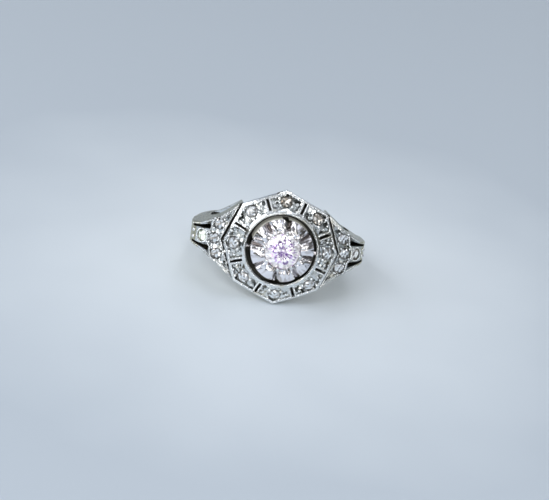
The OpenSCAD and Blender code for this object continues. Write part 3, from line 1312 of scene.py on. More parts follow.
@dataclass
class Gallery:
    """The eight-sided box under the dome, with arched windows and a closed back plate.

    Attributes:
        overhang: how far the dome's corners stand past the walls' corners.
        level: height over the dome's foot at which that is measured.
        lean: how much the walls lean in for each millimetre down.
        overlap: how far the walls and the back plate reach into the metal beside them.
        window: width and height of each window.
        azure_ring_r: distance from the head's axis of the holes under the halo stones.
    """

    form: HeadForm
    finger_r: float
    foot_z: float = 6.2
    overhang: float = 0.15
    level: float = 0.1
    lean: float = 0.67
    wall: float = 0.6
    overlap: Point = (0.02, 0.1)
    window: Point = (1.9, 0.8)
    window_z: float = 8.85
    window_turns: tuple[float, ...] = (67.5, 112.5, 247.5, 292.5)
    plate_z: float = 9.38
    plate_t: float = 0.36
    cup_hole_r: float = 2.78
    azure_r: float = 0.34
    azure_ring_r: float = 4.62
    azures: int = 8
    holes_low: float = 8.0
    holes_high: float = 11.0
    softness: float = 0.03

    def block(self, inset: float, low: float, high: float) -> Solid:
        """The leaning eight-sided block.

        Args:
            inset: how far its sides stand inside the walls' outer faces.
            low: height of its lower end.
            high: height of its upper end.

        Returns:
            The closed solid.
        """
        top_z = self.form.edge_low_z + self.level
        to_flat = math.cos(math.pi / 8)
        top_flat = (self.form.head_r - self.overhang) * to_flat - inset
        radii = [(top_flat - self.lean * (top_z - z)) / to_flat for z in (low, high)]
        return Solid.cone(radii[0], radii[1], low, high, 8)

    def window_tool(self, turn: float) -> Solid:
        """The tool that cuts one arched window.

        Args:
            turn: the window's angle, in degrees.

        Returns:
            The tool.
        """
        width, height = self.window
        reach = (width - height) / 2
        outline = arc((reach, self.window_z), height / 2, -90, 90, 12)
        outline += arc((-reach, self.window_z), height / 2, 90, 270, 12)
        return Solid.prism(outline, Way.ACROSS, 2.0, 8.0).turned(turn)

    def hole_tool(self, radius: float, steps: int) -> Solid:
        """The tool for a round hole in the back plate, on the head's axis."""
        return Solid.cone(radius, radius, self.holes_low, self.holes_high, steps)

    def box(self) -> Solid:
        """The walls and the back plate.

        Returns:
            The solid, with its inside in the second finish.
        """
        into_dome, into_wall = self.overlap
        top_z = self.form.edge_low_z + into_dome
        walls = self.block(0.0, self.foot_z, top_z)
        walls.worked(Work.CUT, self.block(self.wall, self.foot_z - 0.5, top_z + 1.0))
        walls.worked(Work.CUT, Solid.finger_cylinder(self.finger_r))
        walls.worked(Work.CUT, *[self.window_tool(a) for a in self.window_turns])
        plate = self.block(self.wall - into_wall, self.plate_z, self.plate_z + self.plate_t)
        out = Matrix.Translation((self.azure_ring_r, 0, 0))
        holes = [
            self.hole_tool(self.azure_r, 24).moved(out).turned(360 / self.azures * i)
            for i in range(self.azures)
        ]
        plate.worked(Work.CUT, self.hole_tool(self.cup_hole_r, 64), *holes)
        walls.worked(Work.JOIN, plate).softened(self.softness)
        # the chamber takes the dark finish, as oxide and as painted shade
        return walls.painted(1, self.is_inside)

    def is_inside(self, at: Vector, normal: Vector) -> bool:
        """Whether a face belongs to the chamber over the back plate."""
        outward = at.x * normal.x + at.y * normal.y
        return at.z > self.plate_z + 0.05 and (outward < 0.5 or normal.z > 0.5)

    def build(self, lay: RingLay, finishes: MetalFinishes) -> None:
        """Makes the gallery's piece."""
        self.box().piece("gallery_box", lay, finishes.worn, finishes.oxide_and_painted_shade)


@dataclass
class HaloDome:
    """The domed plate with its eight sunk fields, slots and stone seats.

    Attributes:
        base_z: a height under the plate, from which the tools start.
        top_z: a height over the dome, up to which they reach.
        grain_gap: distance of the grains' middles from the seat.
        grain_lift: height of their middles over the girdle.
        small_grain_at: places of the small grains across and along a field, from its stone.
        edge_inset: distance of the outer row of milgrain from the octagon's corners.
        slot_inset: distance of the rows of milgrain beside a slot from it.
    """

    form: HeadForm
    thickness: float = 0.8
    edge_t: float = 0.75
    border_w: float = 0.32
    field_in_r: float = 4.34
    girdle_depth: float = 0.14
    field_depth: float = 0.2
    slot_w: float = 0.3
    slot_border_w: float = 0.2
    slot_in_r: float = 4.445
    slot_out_r: float = 5.795
    stone_ring_r: float = 5.28
    stone_r: float = 0.71
    seat: StoneSeat = StoneSeat(cone_low=-0.48, cone_high=-0.11, reach=1.5)
    rim_r: float = 0.13
    steps: int = 192
    count: int = 8
    base_z: float = 9.0
    top_z: float = 14.0
    softness: float = 0.035
    grain_r: float = 0.2
    grain_gap: float = 0.16
    grain_lift: float = 0.06
    small_grain_r: float = 0.15
    small_grain_at: tuple[Point, ...] = ((-0.3, 1.28), (0.32, 1.28))
    bead_r: float = 0.085
    pitch: float = 0.19
    edge_inset: float = 0.17
    slot_inset: float = 0.1
    smoky_stones: tuple[int, ...] = (2, 3)

    @property
    def slot_turns(self) -> list[float]:
        """Angles of the slots, midway between the stones."""
        return [360 / self.count * (i + 0.5) for i in range(self.count)]

    def stone_place(self, i: int) -> Matrix:
        """Place of a stone's girdle.

        Args:
            i: number of the stone, from zero.

        Returns:
            The place, with Z along the dome's normal.
        """
        turn = Matrix.Rotation(math.radians(360 / self.count * i), 4, "Z")
        at = self.form.on_dome((self.stone_ring_r, 0.0), -self.girdle_depth)
        tip = Matrix.Rotation(math.radians(self.form.slope), 4, "Y")
        return turn @ Matrix.Translation(at) @ tip

    def field_outline(self, i: int) -> list[Point]:
        """Outline of a field.

        Args:
            i: number of its stone, from zero.

        Returns:
            The corners of the drawing, seen from above.
        """
        half_step = 180 / self.count
        half = self.slot_w / 2 + self.slot_border_w
        swing = half_step - math.degrees(math.asin(half / self.field_in_r))
        turn = 2 * half_step * i
        inner = arc((0.0, 0.0), self.field_in_r, turn + swing, turn - swing, 12)
        outer_r = self.form.head_r - self.border_w
        first = self.form.edge_point(inner[-1], turn - half_step, outer_r)
        last = self.form.edge_point(inner[0], turn + half_step, outer_r)
        return inner + [first, self.form.corners(outer_r)[i], last]

    def field_tool(self, i: int) -> Solid:
        """The tool that sinks a field to its floor."""
        tool = Solid.prism(self.field_outline(i), Way.HEAD, self.base_z, self.top_z)
        return tool.worked(Work.CUT, self.below_dome(self.field_depth))

    def slot_tool(self, turn: float) -> Solid:
        """The tool that cuts a slot.

        Args:
            turn: the slot's angle, in degrees.

        Returns:
            The tool.
        """
        half = self.slot_w / 2
        outline = [
            (self.slot_in_r, -half), (self.slot_out_r, -half),
            (self.slot_out_r, half), (self.slot_in_r, half),
        ]
        return Solid.prism(outline, Way.HEAD, self.form.edge_low_z, self.top_z).turned(turn)

    def below_dome(self, depth: float) -> Solid:
        """All that is under the dome's surface.

        Args:
            depth: how far under the surface it starts.

        Returns:
            The closed solid, with a flat top over the opening.
        """
        reach = 8.0
        flat_r = self.form.opening_r - 0.4
        flat_z = self.form.dome_z(flat_r) - depth
        outer_z = max(self.base_z + 0.05, self.form.dome_z(reach) - depth)
        section = [(0, self.base_z), (reach, self.base_z), (reach, outer_z), (flat_r, flat_z), (0, flat_z)]
        return Solid.lathe(section, self.steps)

    def plate(self) -> Solid:
        """The dome's plate with all its cuts and the round wire along its opening.

        Returns:
            The solid, with its hollows in the second finish and its fields in the third.
        """
        form = self.form
        plate = Solid.prism(form.corners(form.head_r), Way.HEAD, form.edge_low_z, TOOL_REACH)
        plate.worked(Work.KEEP, self.below_dome(0.0))
        cavity = Solid.prism(form.corners(form.head_r - self.edge_t), Way.HEAD, 8.5, TOOL_REACH)
        cavity.worked(Work.KEEP, self.below_dome(self.thickness))
        plate.worked(Work.CUT, cavity)
        opening = Solid.cone(form.opening_r, form.opening_r, 8.0, TOOL_REACH, self.steps)
        plate.worked(Work.CUT, opening)
        plate.worked(Work.CUT, *[self.field_tool(i) for i in range(self.count)])
        plate.worked(Work.CUT, *[self.slot_tool(a) for a in self.slot_turns])
        seats = [self.seat.tool(self.stone_r).moved(self.stone_place(i)) for i in range(self.count)]
        plate.worked(Work.CUT, *seats)
        mid = form.opening_r + self.rim_r
        wire = arc((mid, form.dome_z(mid)), self.rim_r, 0, 330, 11)
        plate.worked(Work.JOIN, Solid.lathe(wire, self.steps)).softened(self.softness)
        # slots, the opening's wall and the underside take the dark finish, as oxide and as painted shade
        return plate.painted(1, self.is_hollow).painted(2, self.is_field)

    def is_hollow(self, at: Vector, normal: Vector) -> bool:
        """Whether a face belongs to a slot, to the opening's wall or to the underside.

        Args:
            at: the face's middle.
            normal: its normal.

        Returns:
            True if it does.
        """
        r = math.hypot(at.x, at.y)
        if normal.z < -0.3 or r < self.form.opening_r + 0.02:
            return at.z < self.form.dome_z(r) - 0.02
        step = 360 / self.count
        turn = math.degrees(math.atan2(at.y, at.x)) % step - step / 2
        aside = abs(r * math.sin(math.radians(turn)))
        in_slot = aside < self.slot_w / 2 + 0.01 and self.slot_in_r - 0.05 < r
        return in_slot and abs(normal.z) < 0.5 and at.z < self.form.dome_z(r) - 0.05

    def is_field(self, at: Vector, normal: Vector) -> bool:
        """Whether a face belongs to the fields' floors or to the stones' seats.

        Args:
            at: the face's middle.
            normal: its normal.

        Returns:
            True if it does.
        """
        r = math.hypot(at.x, at.y)
        inside = self.field_in_r < r < self.form.head_r - self.border_w
        return inside and at.z < self.form.dome_z(r) - 0.03 and normal.z > 0.3

    def grains(self) -> Solid:
        """The grains that hold the stones, and the small ones in the fields' ends.

        Returns:
            The grains, as closed shells in one mesh.
        """
        grains = Solid()
        grain_ring = self.seat.wide(self.stone_r) + self.grain_gap
        tall = Matrix.Diagonal((1, 1, 1.25, 1))
        for i in range(self.count):
            place = self.stone_place(i)
            spots = [(*polar(grain_ring, turn), self.grain_lift) for turn in range(45, 360, 90)]
            grains.add_balls([place @ Matrix.Translation(s) @ tall for s in spots], self.grain_r, 7, 12)
            ends = [(x, side * y, 0.08) for side in (-1, 1) for x, y in self.small_grain_at]
            small = [place @ Matrix.Translation(end) for end in ends]
            grains.add_balls(small, self.small_grain_r, 6, 10)
        return grains

    def milgrain(self) -> Solid:
        """The rows of tiny beads along the edge, the slots and the opening.

        Returns:
            The beads, as closed shells in one mesh.
        """
        beads = Solid()
        form = self.form
        edge = [form.on_dome(p) for p in self.dense(form.corners(form.head_r - self.edge_inset))]
        beads.add_balls([Matrix.Translation(p) for p in along(edge, self.pitch, True)], self.bead_r)
        for turn in self.slot_turns:
            spin = Matrix.Rotation(math.radians(turn), 2)
            for side in (-1, 1):
                offset = side * (self.slot_w / 2 + self.slot_inset)
                ends = [(self.slot_in_r + 0.02, offset), (self.slot_out_r + 0.02, offset)]
                row = [form.on_dome(tuple(spin @ Vector(p))) for p in ends]
                beads.add_balls([Matrix.Translation(p) for p in along(row, self.pitch)], self.bead_r)
        crest_r = form.opening_r + self.rim_r
        crest_z = form.dome_z(crest_r) + self.rim_r * 0.9
        crest = [Vector((*p, crest_z)) for p in arc((0.0, 0.0), crest_r, 0, 355, 71)]
        spots = [Matrix.Translation(p) for p in along(crest, self.pitch * 0.75, True)]
        beads.add_balls(spots, self.bead_r * 0.7)
        return beads

    @staticmethod
    def dense(corners: list[Point], parts: int = 12) -> list[Point]:
        """A closed outline with points between its corners, so that a path follows the dome.

        Args:
            corners: the outline's corners.
            parts: number of stretches on each side.

        Returns:
            The points.
        """
        points = []
        for a, b in zip(corners, corners[1:] + corners[:1]):
            first, second = Vector(a), Vector(b)
            points += [tuple(first.lerp(second, i / parts)) for i in range(parts)]
        return points

    def build(self, lay: RingLay, finishes: MetalFinishes) -> None:
        """Makes the dome's pieces and dresses its stones.

        Args:
            lay: how the ring lies.
            finishes: the metal's finishes.
        """
        slots, fields = finishes.oxide_and_painted_shade, finishes.bright_cut
        self.plate().piece("halo_dome_plate", lay, finishes.polished, slots, fields)
        self.grains().piece("halo_grains", lay, finishes.bright)
        self.milgrain().piece("halo_milgrain", lay, finishes.bright)
        clear = CutStone()
        smoky = CutStone(
            white=(0.62, 0.58, 0.53), fire=(0.36, 0.30, 0.24), deep=(0.10, 0.085, 0.07), painted_glow=0.0,
        )
        for i in range(self.count):
            stone = smoky if i + 1 in self.smoky_stones else clear
            stone.dress(f"halo_stone_{i + 1}", lay.matrix() @ self.stone_place(i))


@dataclass
class IllusionSetting:
    """The cup in the middle of the head, with eight bright lobes round the centre stone.

    Attributes:
        cup_z: height of the lobes' outer ends.
        edge: width of the easing along the cup's upper and lower edge.
        rise: how much the lobes rise to the stone.
        bowl_h: height of the bowl between the foot and the upright wall.
        belly: height of the rounded middle of a lobe.
        line: depth of the graver's line where two lobes meet.
        line_from: share of half a lobe at which that line starts.
        valley: depth of the valleys between the lobes, at the cup's edge.
        sharpness: how narrow the valleys are.
        turn: angle of the first lobe from the right shoulder, in degrees.
        shift: distance that the cup sits off the middle.
        tab: half length and half width of the tabs that reach the dome.
        claw_r: radius of a claw before it is stretched.
        claw_form: how much a claw is stretched each way.
    """

    form: HeadForm
    cup_r: float = 3.5
    cup_z: float = 12.6
    edge: float = 0.04
    rise: float = 0.35
    seat_r: float = 2.015
    seat_depth: float = 0.22
    hole_r: float = 1.1
    foot_z: float = 9.0
    foot_r: float = 2.4
    bowl_h: float = 0.77
    wall: float = 0.5
    belly: float = 0.16
    scoop: float = 0.05
    line: float = 0.22
    line_from: float = 0.84
    valley: float = 0.46
    sharpness: float = 2.6
    turn: float = 14.5
    shift: float = 0.08
    count: int = 8
    steps: int = 256
    rings: int = 16
    notch_w: float = 0.7
    tab: Point = (0.5, 0.17)
    tab_h: float = 0.3
    claw_r: float = 0.2
    claw_lean: float = -32.0
    claw_form: Place = (0.8, 0.95, 1.6)

    def section(self) -> list[Point]:
        """Section of the cup before the lobes are worked.

        Returns:
            Distance from the axis and height of each corner.
        """
        seat_z = self.cup_z + self.rise - self.seat_depth
        edge_r = self.cup_r - self.edge
        wall_r = self.cup_r - self.wall
        top = []
        for i in range(self.rings + 1):
            share = i / self.rings
            top.append((edge_r - share * (edge_r - self.seat_r), self.cup_z + self.rise * share))
        return [
            (self.foot_r, self.foot_z), (edge_r, self.foot_z + self.bowl_h),
            (self.cup_r, self.foot_z + self.bowl_h + 0.09), (self.cup_r, self.cup_z - 0.05), *top,
            (self.seat_r, seat_z), (self.hole_r, seat_z - 0.79), (self.hole_r, seat_z - 1.24),
            (self.seat_r, seat_z - 0.5), (wall_r, self.cup_z - 0.55), (wall_r, self.foot_z + 1.0),
            (self.foot_r - self.wall, self.foot_z + 0.2), (self.foot_r - self.wall, self.foot_z),
        ]

    def lobe_lift(self, x: float, y: float) -> float:
        """Height of the lobed top over the plain cup at a place.

        Args:
            x: place across the ring.
            y: place along the finger.

        Returns:
            A rounded belly in the middle of a lobe, a scoop beside the stone, and a narrow
            graver's line where two lobes meet.
        """
        out = (math.hypot(x, y) - self.seat_r) / (self.cup_r - self.seat_r)
        step = 360 / self.count
        away = (math.degrees(math.atan2(y, x)) - self.turn + step / 2) % step - step / 2
        share = abs(away) / (step / 2)      # 0 in the middle of a lobe, 1 in the valley beside it
        belly = self.belly * math.sin(math.pi * min(1.0, out * 1.05)) * (1 - share**2)
        scoop = self.scoop * math.exp(-((out - 0.18) / 0.12) ** 2) * (1 - share**2)
        line_share = max(0.0, (share - self.line_from) / (1 - self.line_from))
        line = self.line * line_share * min(1.0, out * 3)
        return belly - scoop - line - self.valley * out**0.8 * share**self.sharpness

    def cup(self) -> Solid:
        """The cup with its lobes, its notches and the two tabs that reach the dome.

        Returns:
            The solid, with its lit wall, its hollows and its inside in finishes of their own.
        """
        cup = Solid.lathe(self.section(), self.steps)
        for vert in cup.body.verts:
            x, y, z = vert.co
            if z > self.cup_z - 0.1 and math.hypot(x, y) > self.seat_r + 0.01:
                vert.co.z += self.lobe_lift(x, y)
        half = self.notch_w / 2
        notches = []
        for s in (-1, 1):
            inner, outer = s * (self.cup_r - 0.3), s * (self.cup_r + 1)
            outline = [(-half, inner), (half, inner), (half, outer), (-half, outer)]
            notches.append(Solid.prism(outline, Way.HEAD, self.cup_z - 2.3, self.cup_z - 0.1))
        cup.worked(Work.CUT, *notches)
        tab_x, tab_y = self.tab
        tab_z = self.form.dome_z(self.form.opening_r) - 0.65
        outline = [(-tab_x, -tab_y), (tab_x, -tab_y), (tab_x, tab_y), (-tab_x, tab_y)]
        for s in (-1, 1):
            at = [(x + s * (self.cup_r + 0.4), y) for x, y in outline]
            cup.add(Solid.prism(at, Way.HEAD, tab_z, tab_z + self.tab_h))
        cup.painted(1, self.is_wall).painted(2, self.is_hollow).painted(3, self.is_inside)
        return cup.moved(Matrix.Translation((self.shift, 0, 0)))

    def is_wall(self, at: Vector, normal: Vector) -> bool:
        """Whether a face belongs to the upright wall where light falls in from above."""
        lit = at.y > 0.9 + 0.5 * max(0.0, at.x)
        return lit and normal.z < 0.4 and math.hypot(at.x, at.y) > self.cup_r - 0.15

    def is_hollow(self, at: Vector, normal: Vector) -> bool:
        """Whether a face belongs to a notch, to the cup's inside or to its foot.

        Args:
            at: the face's middle.
            normal: its normal.

        Returns:
            True if it does.
        """
        in_notch = abs(at.x) < self.notch_w / 2 + 0.02 and abs(at.y) < self.cup_r - 0.05
        # painted shade: under the lit strip of the wall, and deep inside, faces take the dark finish
        low = at.z < (self.foot_z + 0.8 if self.is_wall(at, normal) else self.cup_z - 1.2)
        return low or (in_notch and at.z < self.cup_z - 0.05)

    def is_inside(self, at: Vector, normal: Vector) -> bool:
        """Whether a face belongs to the cup's inside, which shows from the finger."""
        inward = at.x * normal.x + at.y * normal.y < 0 or normal.z < -0.5
        return inward and at.z < self.cup_z - 0.5

    def prongs(self) -> Solid:
        """The claws at the ends of the lines between the lobes, leaning over the girdle.

        Returns:
            The claws, as closed shells in one mesh.
        """
        claws = Solid()
        lean = Matrix.Rotation(math.radians(self.claw_lean), 4, "Y")
        lean = lean @ Matrix.Diagonal((*self.claw_form, 1))
        places = []
        for i in range(self.count):
            turn = self.turn + 360 / self.count * (i + 0.5)
            x, y = polar(self.seat_r + 0.08, turn)
            at = Matrix.Translation((x + self.shift, y, self.cup_z + self.rise + 0.08))
            places.append(at @ Matrix.Rotation(math.radians(turn), 4, "Z") @ lean)
        claws.add_balls(places, self.claw_r, 10, 16)
        return claws

    def build(self, lay: RingLay, finishes: MetalFinishes) -> None:
        """Makes the setting's pieces and dresses its stone.

        Args:
            lay: how the ring lies.
            finishes: the metal's finishes.
        """
        middle = lay.matrix() @ Matrix.Translation((self.shift, 0, self.cup_z))
        # the lobes carry painted shade: dark bands between them and dark streaks on some cuts
        lobes = WhiteGold(
            clean=(0.89, 0.87, 0.91), dirt_and_shade=CORNER_DIRT_AND_SHADE, gloss=0.07, dull=0.16, crevice=0.0002, warmth=0.1,
            cut_tilt=0.3, lobes=self.count, lobe_turn=self.turn,
        ).material("white_gold_rays", middle)
        # the lit wall: a matte finish with a painted glow for the light that bounces down the gap
        wall = WhiteGold(
            clean=(0.80, 0.80, 0.72), warm=(0.58, 0.57, 0.47), gloss=0.45, dull=0.6, metal=0.1,
            crevice=0.00003, painted_bounce_glow=0.16,
        ).material("white_gold_lit_wall_glow")
        inside = finishes.worn
        self.cup().piece("illusion_cup", lay, lobes, wall, finishes.oxide_and_painted_shade, inside)
        self.prongs().piece("illusion_prongs", lay, finishes.bright)
        # the centre stone's star of painted reflections, with a painted glow
        stone = CutStone(
            white=(1.0, 0.97, 1.0), fire=(0.66, 0.47, 0.80), deep=(0.20, 0.09, 0.36), patch=3.8,
            tilt=0.5, mirror=0.6, painted_glow=0.18, star=8, fire_from=0.40, fire_fade=0.24, deep_from=0.36,
            deep_fade=0.34, rim_r=3.0,
        )
        stone.dress("centre_stone", middle @ Matrix.Translation((0, 0, self.rise)))


@dataclass
class Shoulder:
    """One openwork shoulder between the head and the shank, drawn on the right side.

    Attributes:
        curve_start: angle at which the upper curve starts, in degrees.
        reach: distance of its widest point from the middle of the ring.
        foot: place across the ring and height of its outer lower corner.
        inner_x: place across the ring at which it starts, inside the gallery.
        side_inset: thickness of its side walls.
        groove_fill: how much of the groove along the head is filled on the side of the floor.
        neck: place across the ring and half width where the shoulder starts.
        waist: the same where it starts to taper.
        tip: the same where its end plate starts.
        front: half of its outline, seen along the line over the shoulders.
        stones: place across the ring, place along the finger and radius of each stone.
        piercing: corners of a piercing, seen from above.
        bracket: border of the stone field towards the end plate, seen from above.
        grain_gap: distance of the grains' middles from the seat.
        end_beads: place across the ring, place along the finger and radius of the end beads.
    """

    form: HeadForm
    gallery: Gallery
    curve_r: float = 4.0
    curve_start: float = -7.2
    reach: float = 9.9
    reach_z: float = 5.8
    foot: Point = (9.16, 0.1)
    inner_x: float = 3.0
    plate_t: float = 0.75
    rail_w: float = 0.34
    field_depth: float = 0.14
    side_inset: float = 0.42
    bore_r: float = 8.65
    hollow_r: float = 8.85
    crescent_r: float = 2.0
    groove_w: float = 0.22
    groove_depth: float = 0.45
    groove_fill: float = 0.3
    neck: Point = (2.5, 2.3)
    waist: Point = (6.9, 2.62)
    tip: Point = (9.0, 1.45)
    end_half: float = 1.1
    front: tuple[Point, ...] = ((0.9, 0), (1.25, 3.5), (5, 7.3), (5, 12))
    seat: StoneSeat = StoneSeat(cone_low=-0.44, cone_high=-0.1, reach=1.0)
    stones: tuple[Place, ...] = (
        (7.0, 1.68, 0.62), (7.42, 0.0, 0.62), (7.0, -1.68, 0.62), (8.76, 0.0, 0.64)
    )
    piercing: tuple[Point, ...] = (
        (7.9, 1.0), (8.1, 0.92), (9.0, 0.87), (9.72, 0.76), (9.72, 1.0), (9.0, 1.2), (7.92, 1.56),
        (7.86, 1.3),
    )
    piercing_foot_z: float = 6.6
    bracket: tuple[Point, ...] = ((7.56, 5.0), (7.56, 1.9), (7.72, 1.0), (8.1, 0.5))
    softness: float = 0.035
    grain_r: float = 0.16
    grain_gap: float = 0.13
    collar_r: float = 0.1
    bar_r: float = 0.12
    bead_r: float = 0.08
    pitch: float = 0.19
    end_beads: Place = (9.6, 0.36, 0.22)

    @property
    def middle_x(self) -> float:
        """Place across the ring of the upper curve's middle."""
        return self.reach - self.curve_r

    def curve_turn(self, x: float) -> float:
        """Lean of the upper curve at a place across the ring, in degrees."""
        share = min(1.0, (x - self.middle_x) / self.curve_r)
        return math.degrees(math.asin(share))

    def curve_z(self, x: float) -> float:
        """Height of the upper curve at a place across the ring."""
        return self.reach_z + self.curve_r * math.cos(math.radians(self.curve_turn(x)))

    def on_curve(self, x: float, y: float, lift: float = 0.0) -> Matrix:
        """Place on the shoulder, at a lift over its surface and with Z along the normal."""
        lean = Matrix.Rotation(math.radians(self.curve_turn(x)), 4, "Y")
        return Matrix.Translation((x, y, self.curve_z(x))) @ lean @ Matrix.Translation((0, 0, lift))

    def side_outline(self, inset: float) -> list[Point]:
        """Side view, in by a distance from the outer curve."""
        curve = arc((self.middle_x, self.reach_z), self.curve_r - inset, self.curve_start, 90, 48)
        foot_x, foot_z = self.foot
        top_z = self.reach_z + self.curve_r - inset
        return [(self.inner_x, foot_z), (foot_x - inset, foot_z), *curve, (self.inner_x, top_z)]

    def half_plan(self, inset: float) -> list[Point]:
        """Half of the view from above.

        Args:
            inset: how far it stands inside the long edge.

        Returns:
            The long edge's corners, from the head to the end.
        """
        root_x, root_y = self.form.corners(self.form.head_r)[1]
        return [
            (self.neck[0], self.neck[1] - inset), (root_x, root_y - 1.3 * inset),
            (self.waist[0], self.waist[1] - 1.2 * inset), (self.tip[0], self.tip[1] - inset),
            (self.reach + 0.1, self.end_half - inset),
        ]

    def plan(self, inset: float) -> list[Point]:
        """View from above, in by a distance from its two long edges."""
        upper = self.half_plan(inset)
        return upper + [(x, -y) for x, y in reversed(upper)]

    def block(self, top_inset: float, side_inset: float) -> Solid:
        """The solid shoulder, or the smaller one inside it.

        Args:
            top_inset: how far it stands inside the upper curve.
            side_inset: how far it stands inside the two sides.

        Returns:
            The closed solid.
        """
        front = [*self.front, *[(-y, z) for y, z in reversed(self.front)]]
        block = Solid.prism(self.side_outline(top_inset), Way.FINGER, -6, 6)
        above = Solid.prism(self.plan(side_inset), Way.HEAD, 0, 12)
        return block.worked(Work.KEEP, above, Solid.prism(front, Way.ACROSS, 0, 12))

    def field_tool(self) -> Solid:
        """The tool that sinks the field of three stones between the rails.

        Returns:
            The tool.
        """
        outline = [(4.0, 5.0), *self.bracket]
        outline += [(x, -y) for x, y in reversed(outline)]
        tool = Solid.prism(outline, Way.HEAD, 6, 12)
        tool.worked(Work.KEEP, Solid.prism(self.plan(self.rail_w), Way.HEAD, 5, 13))
        ring = self.form.corners(self.form.head_r + self.groove_w + 0.1)
        tool.worked(Work.CUT, Solid.prism(ring, Way.HEAD, 5, 13))
        below = Solid.prism(self.side_outline(self.field_depth), Way.FINGER, -7, 7)
        return tool.worked(Work.CUT, below)

    def groove_tool(self) -> Solid:
        """The tool that cuts the groove along the head.

        Returns:
            The tool, which is shallower on the side of the floor.
        """
        low = self.form.edge_low_z - self.groove_depth
        outer = self.form.corners(self.form.head_r + self.groove_w)
        inner = self.form.corners(self.form.head_r - 0.1)
        worn_side = [(3, -6), (9, -6), (9, -0.4), (3, -0.4)]
        tool = Solid.prism(outer, Way.HEAD, low, 12)
        filled = Solid.prism(worn_side, Way.HEAD, low - 1, low + self.groove_fill)
        return tool.worked(Work.CUT, Solid.prism(inner, Way.HEAD, low - 1, 13), filled)

    def frame_work(self) -> Solid:
        """The shoulder's metal with its hollow, crescent, field, piercings, groove and seats.

        Returns:
            The solid, with its sides, its hollows and its field in finishes of their own.
        """
        work = self.block(0.0, 0.0)
        hollow = self.block(self.plate_t, self.side_inset)
        hollow.worked(Work.CUT, Solid.finger_cylinder(self.hollow_r))
        bore = Solid.finger_cylinder(self.bore_r)
        crescent = Solid.finger_cylinder(self.crescent_r, (self.middle_x, self.reach_z), 96)
        longer = Matrix.Scale(1.1, 4, (0, 1, 0))
        crescent.worked(Work.CUT, Solid.finger_cylinder(self.hollow_r + 0.03).moved(longer))
        work.worked(Work.CUT, hollow, crescent, bore)
        below = Solid.prism(self.side_outline(self.plate_t + 0.1), Way.FINGER, -7, 7)
        piercings = []
        for side in (-1, 1):
            outline = [(x, side * y) for x, y in self.piercing]
            tool = Solid.prism(outline, Way.HEAD, self.piercing_foot_z, 13)
            piercings.append(tool.worked(Work.CUT, below))
        seats = [
            self.seat.tool(r).moved(self.on_curve(x, y, -self.field_depth)) for x, y, r in self.stones
        ]
        work.worked(Work.CUT, self.field_tool(), self.groove_tool(), *piercings, *seats)
        inside = self.gallery.block(0.3, self.gallery.foot_z, self.form.edge_low_z + 2)
        work.worked(Work.CUT, inside).softened(self.softness)
        return work.painted(1, self.is_side).painted(2, self.is_hollow).painted(3, self.is_field)

    def is_side(self, at: Vector, normal: Vector) -> bool:
        """Whether a face belongs to a side wall, to the steep outer end, or to a rail's outer end, which
        takes the side finish as painted shade.
        """
        outer = (abs(at.y) > 0.9 and at.x > 9.0) or normal.z < -0.2 or at.x > 9.4
        return outer or abs(normal.y) > 0.5 or (normal.x > 0.86 and at.z < self.curve_z(9.75))

    def is_hollow(self, at: Vector, normal: Vector) -> bool:
        """Whether a face belongs to a piercing, to the hollow's foot or to the groove's floor.

        Args:
            at: the face's middle.
            normal: its normal.

        Returns:
            True if it does.
        """
        # painted shade: deep narrow places take the dark finish, but not deep by the side walls, where
        # light reaches in
        depth = self.curve_z(at.x) - at.z
        half = value_on(self.half_plan(0.0), at.x)
        if normal.z > 0.2:
            in_wall = abs(at.y) > half - 0.35
            return depth > 0.3 and not (in_wall and depth > 1.4)
        steep = max(abs(normal.z), normal.x) < 0.6
        return abs(at.y) < half - 0.1 and steep and 0.03 < depth < 1.2

    def is_field(self, at: Vector, normal: Vector) -> bool:
        """Whether a face belongs to the stone field's floor or to a seat."""
        depth = self.curve_z(at.x) - at.z
        return normal.z > 0.4 and 0.05 < depth < 0.3 and at.x < 8.2

    def beads(self) -> Solid:
        """The grains, the milgrain, the beads beside the end stone and the two at the tip.

        Returns:
            The beads, as closed shells in one mesh.
        """
        beads = Solid()
        for x, y, r in self.stones:
            place = self.on_curve(x, y, -self.field_depth)
            out = self.seat.wide(r) + self.grain_gap
            spots = [(*polar(out, turn), 0.06) for turn in range(45, 360, 90)]
            beads.add_balls([place @ Matrix.Translation(at) for at in spots], self.grain_r, 6, 10)
        x, y, r = self.stones[-1]
        place = self.on_curve(x, y)
        collar = [(*polar(r + 0.12, turn), 0.0) for turn in range(0, 360, 15)]
        beads.add_balls([place @ Matrix.Translation(at) for at in collar], self.collar_r, 6, 10)
        x, y, r = self.end_beads
        beads.add_balls([self.on_curve(x, -y), self.on_curve(x, y)], r, 9, 14)
        for path in self.rows():
            beads.add_balls([self.on_curve(p.x, p.y) for p in along(path, self.pitch)], self.bead_r)
        outline = [Vector((x + 0.08, y)) for x, y in self.bracket[1:]]
        bar = outline + [Vector((p.x, -p.y)) for p in reversed(outline)]
        beads.add_balls([self.on_curve(p.x, p.y) for p in along(bar, 0.22)], self.bar_r)
        return beads

    def rows(self) -> list[list[Vector]]:
        """Paths of the milgrain on the rails and along the groove.

        Returns:
            The corners of each path, seen from above.
        """
        rows = []
        for s in (-1, 1):
            rail = [Vector((x, s * y)) for x, y in self.half_plan(0.12)[1:]]
            rail[0] += (rail[1] - rail[0]) * 0.16
            rail[-1] = rail[-2].lerp(rail[-1], 0.75)
            inner = [Vector((x, s * y)) for x, y in self.half_plan(self.rail_w - 0.07)[1:3]]
            inner[0] += (inner[1] - inner[0]) * 0.2
            rows += [rail, inner]
        near = self.form.corners(self.form.head_r + self.groove_w + 0.06)
        edge = [Vector(near[i]) for i in (1, 0, 7)]
        edge[0] = edge[0].lerp(edge[1], 0.1)
        edge[2] = edge[2].lerp(edge[1], 0.1)
        return [*rows, edge]

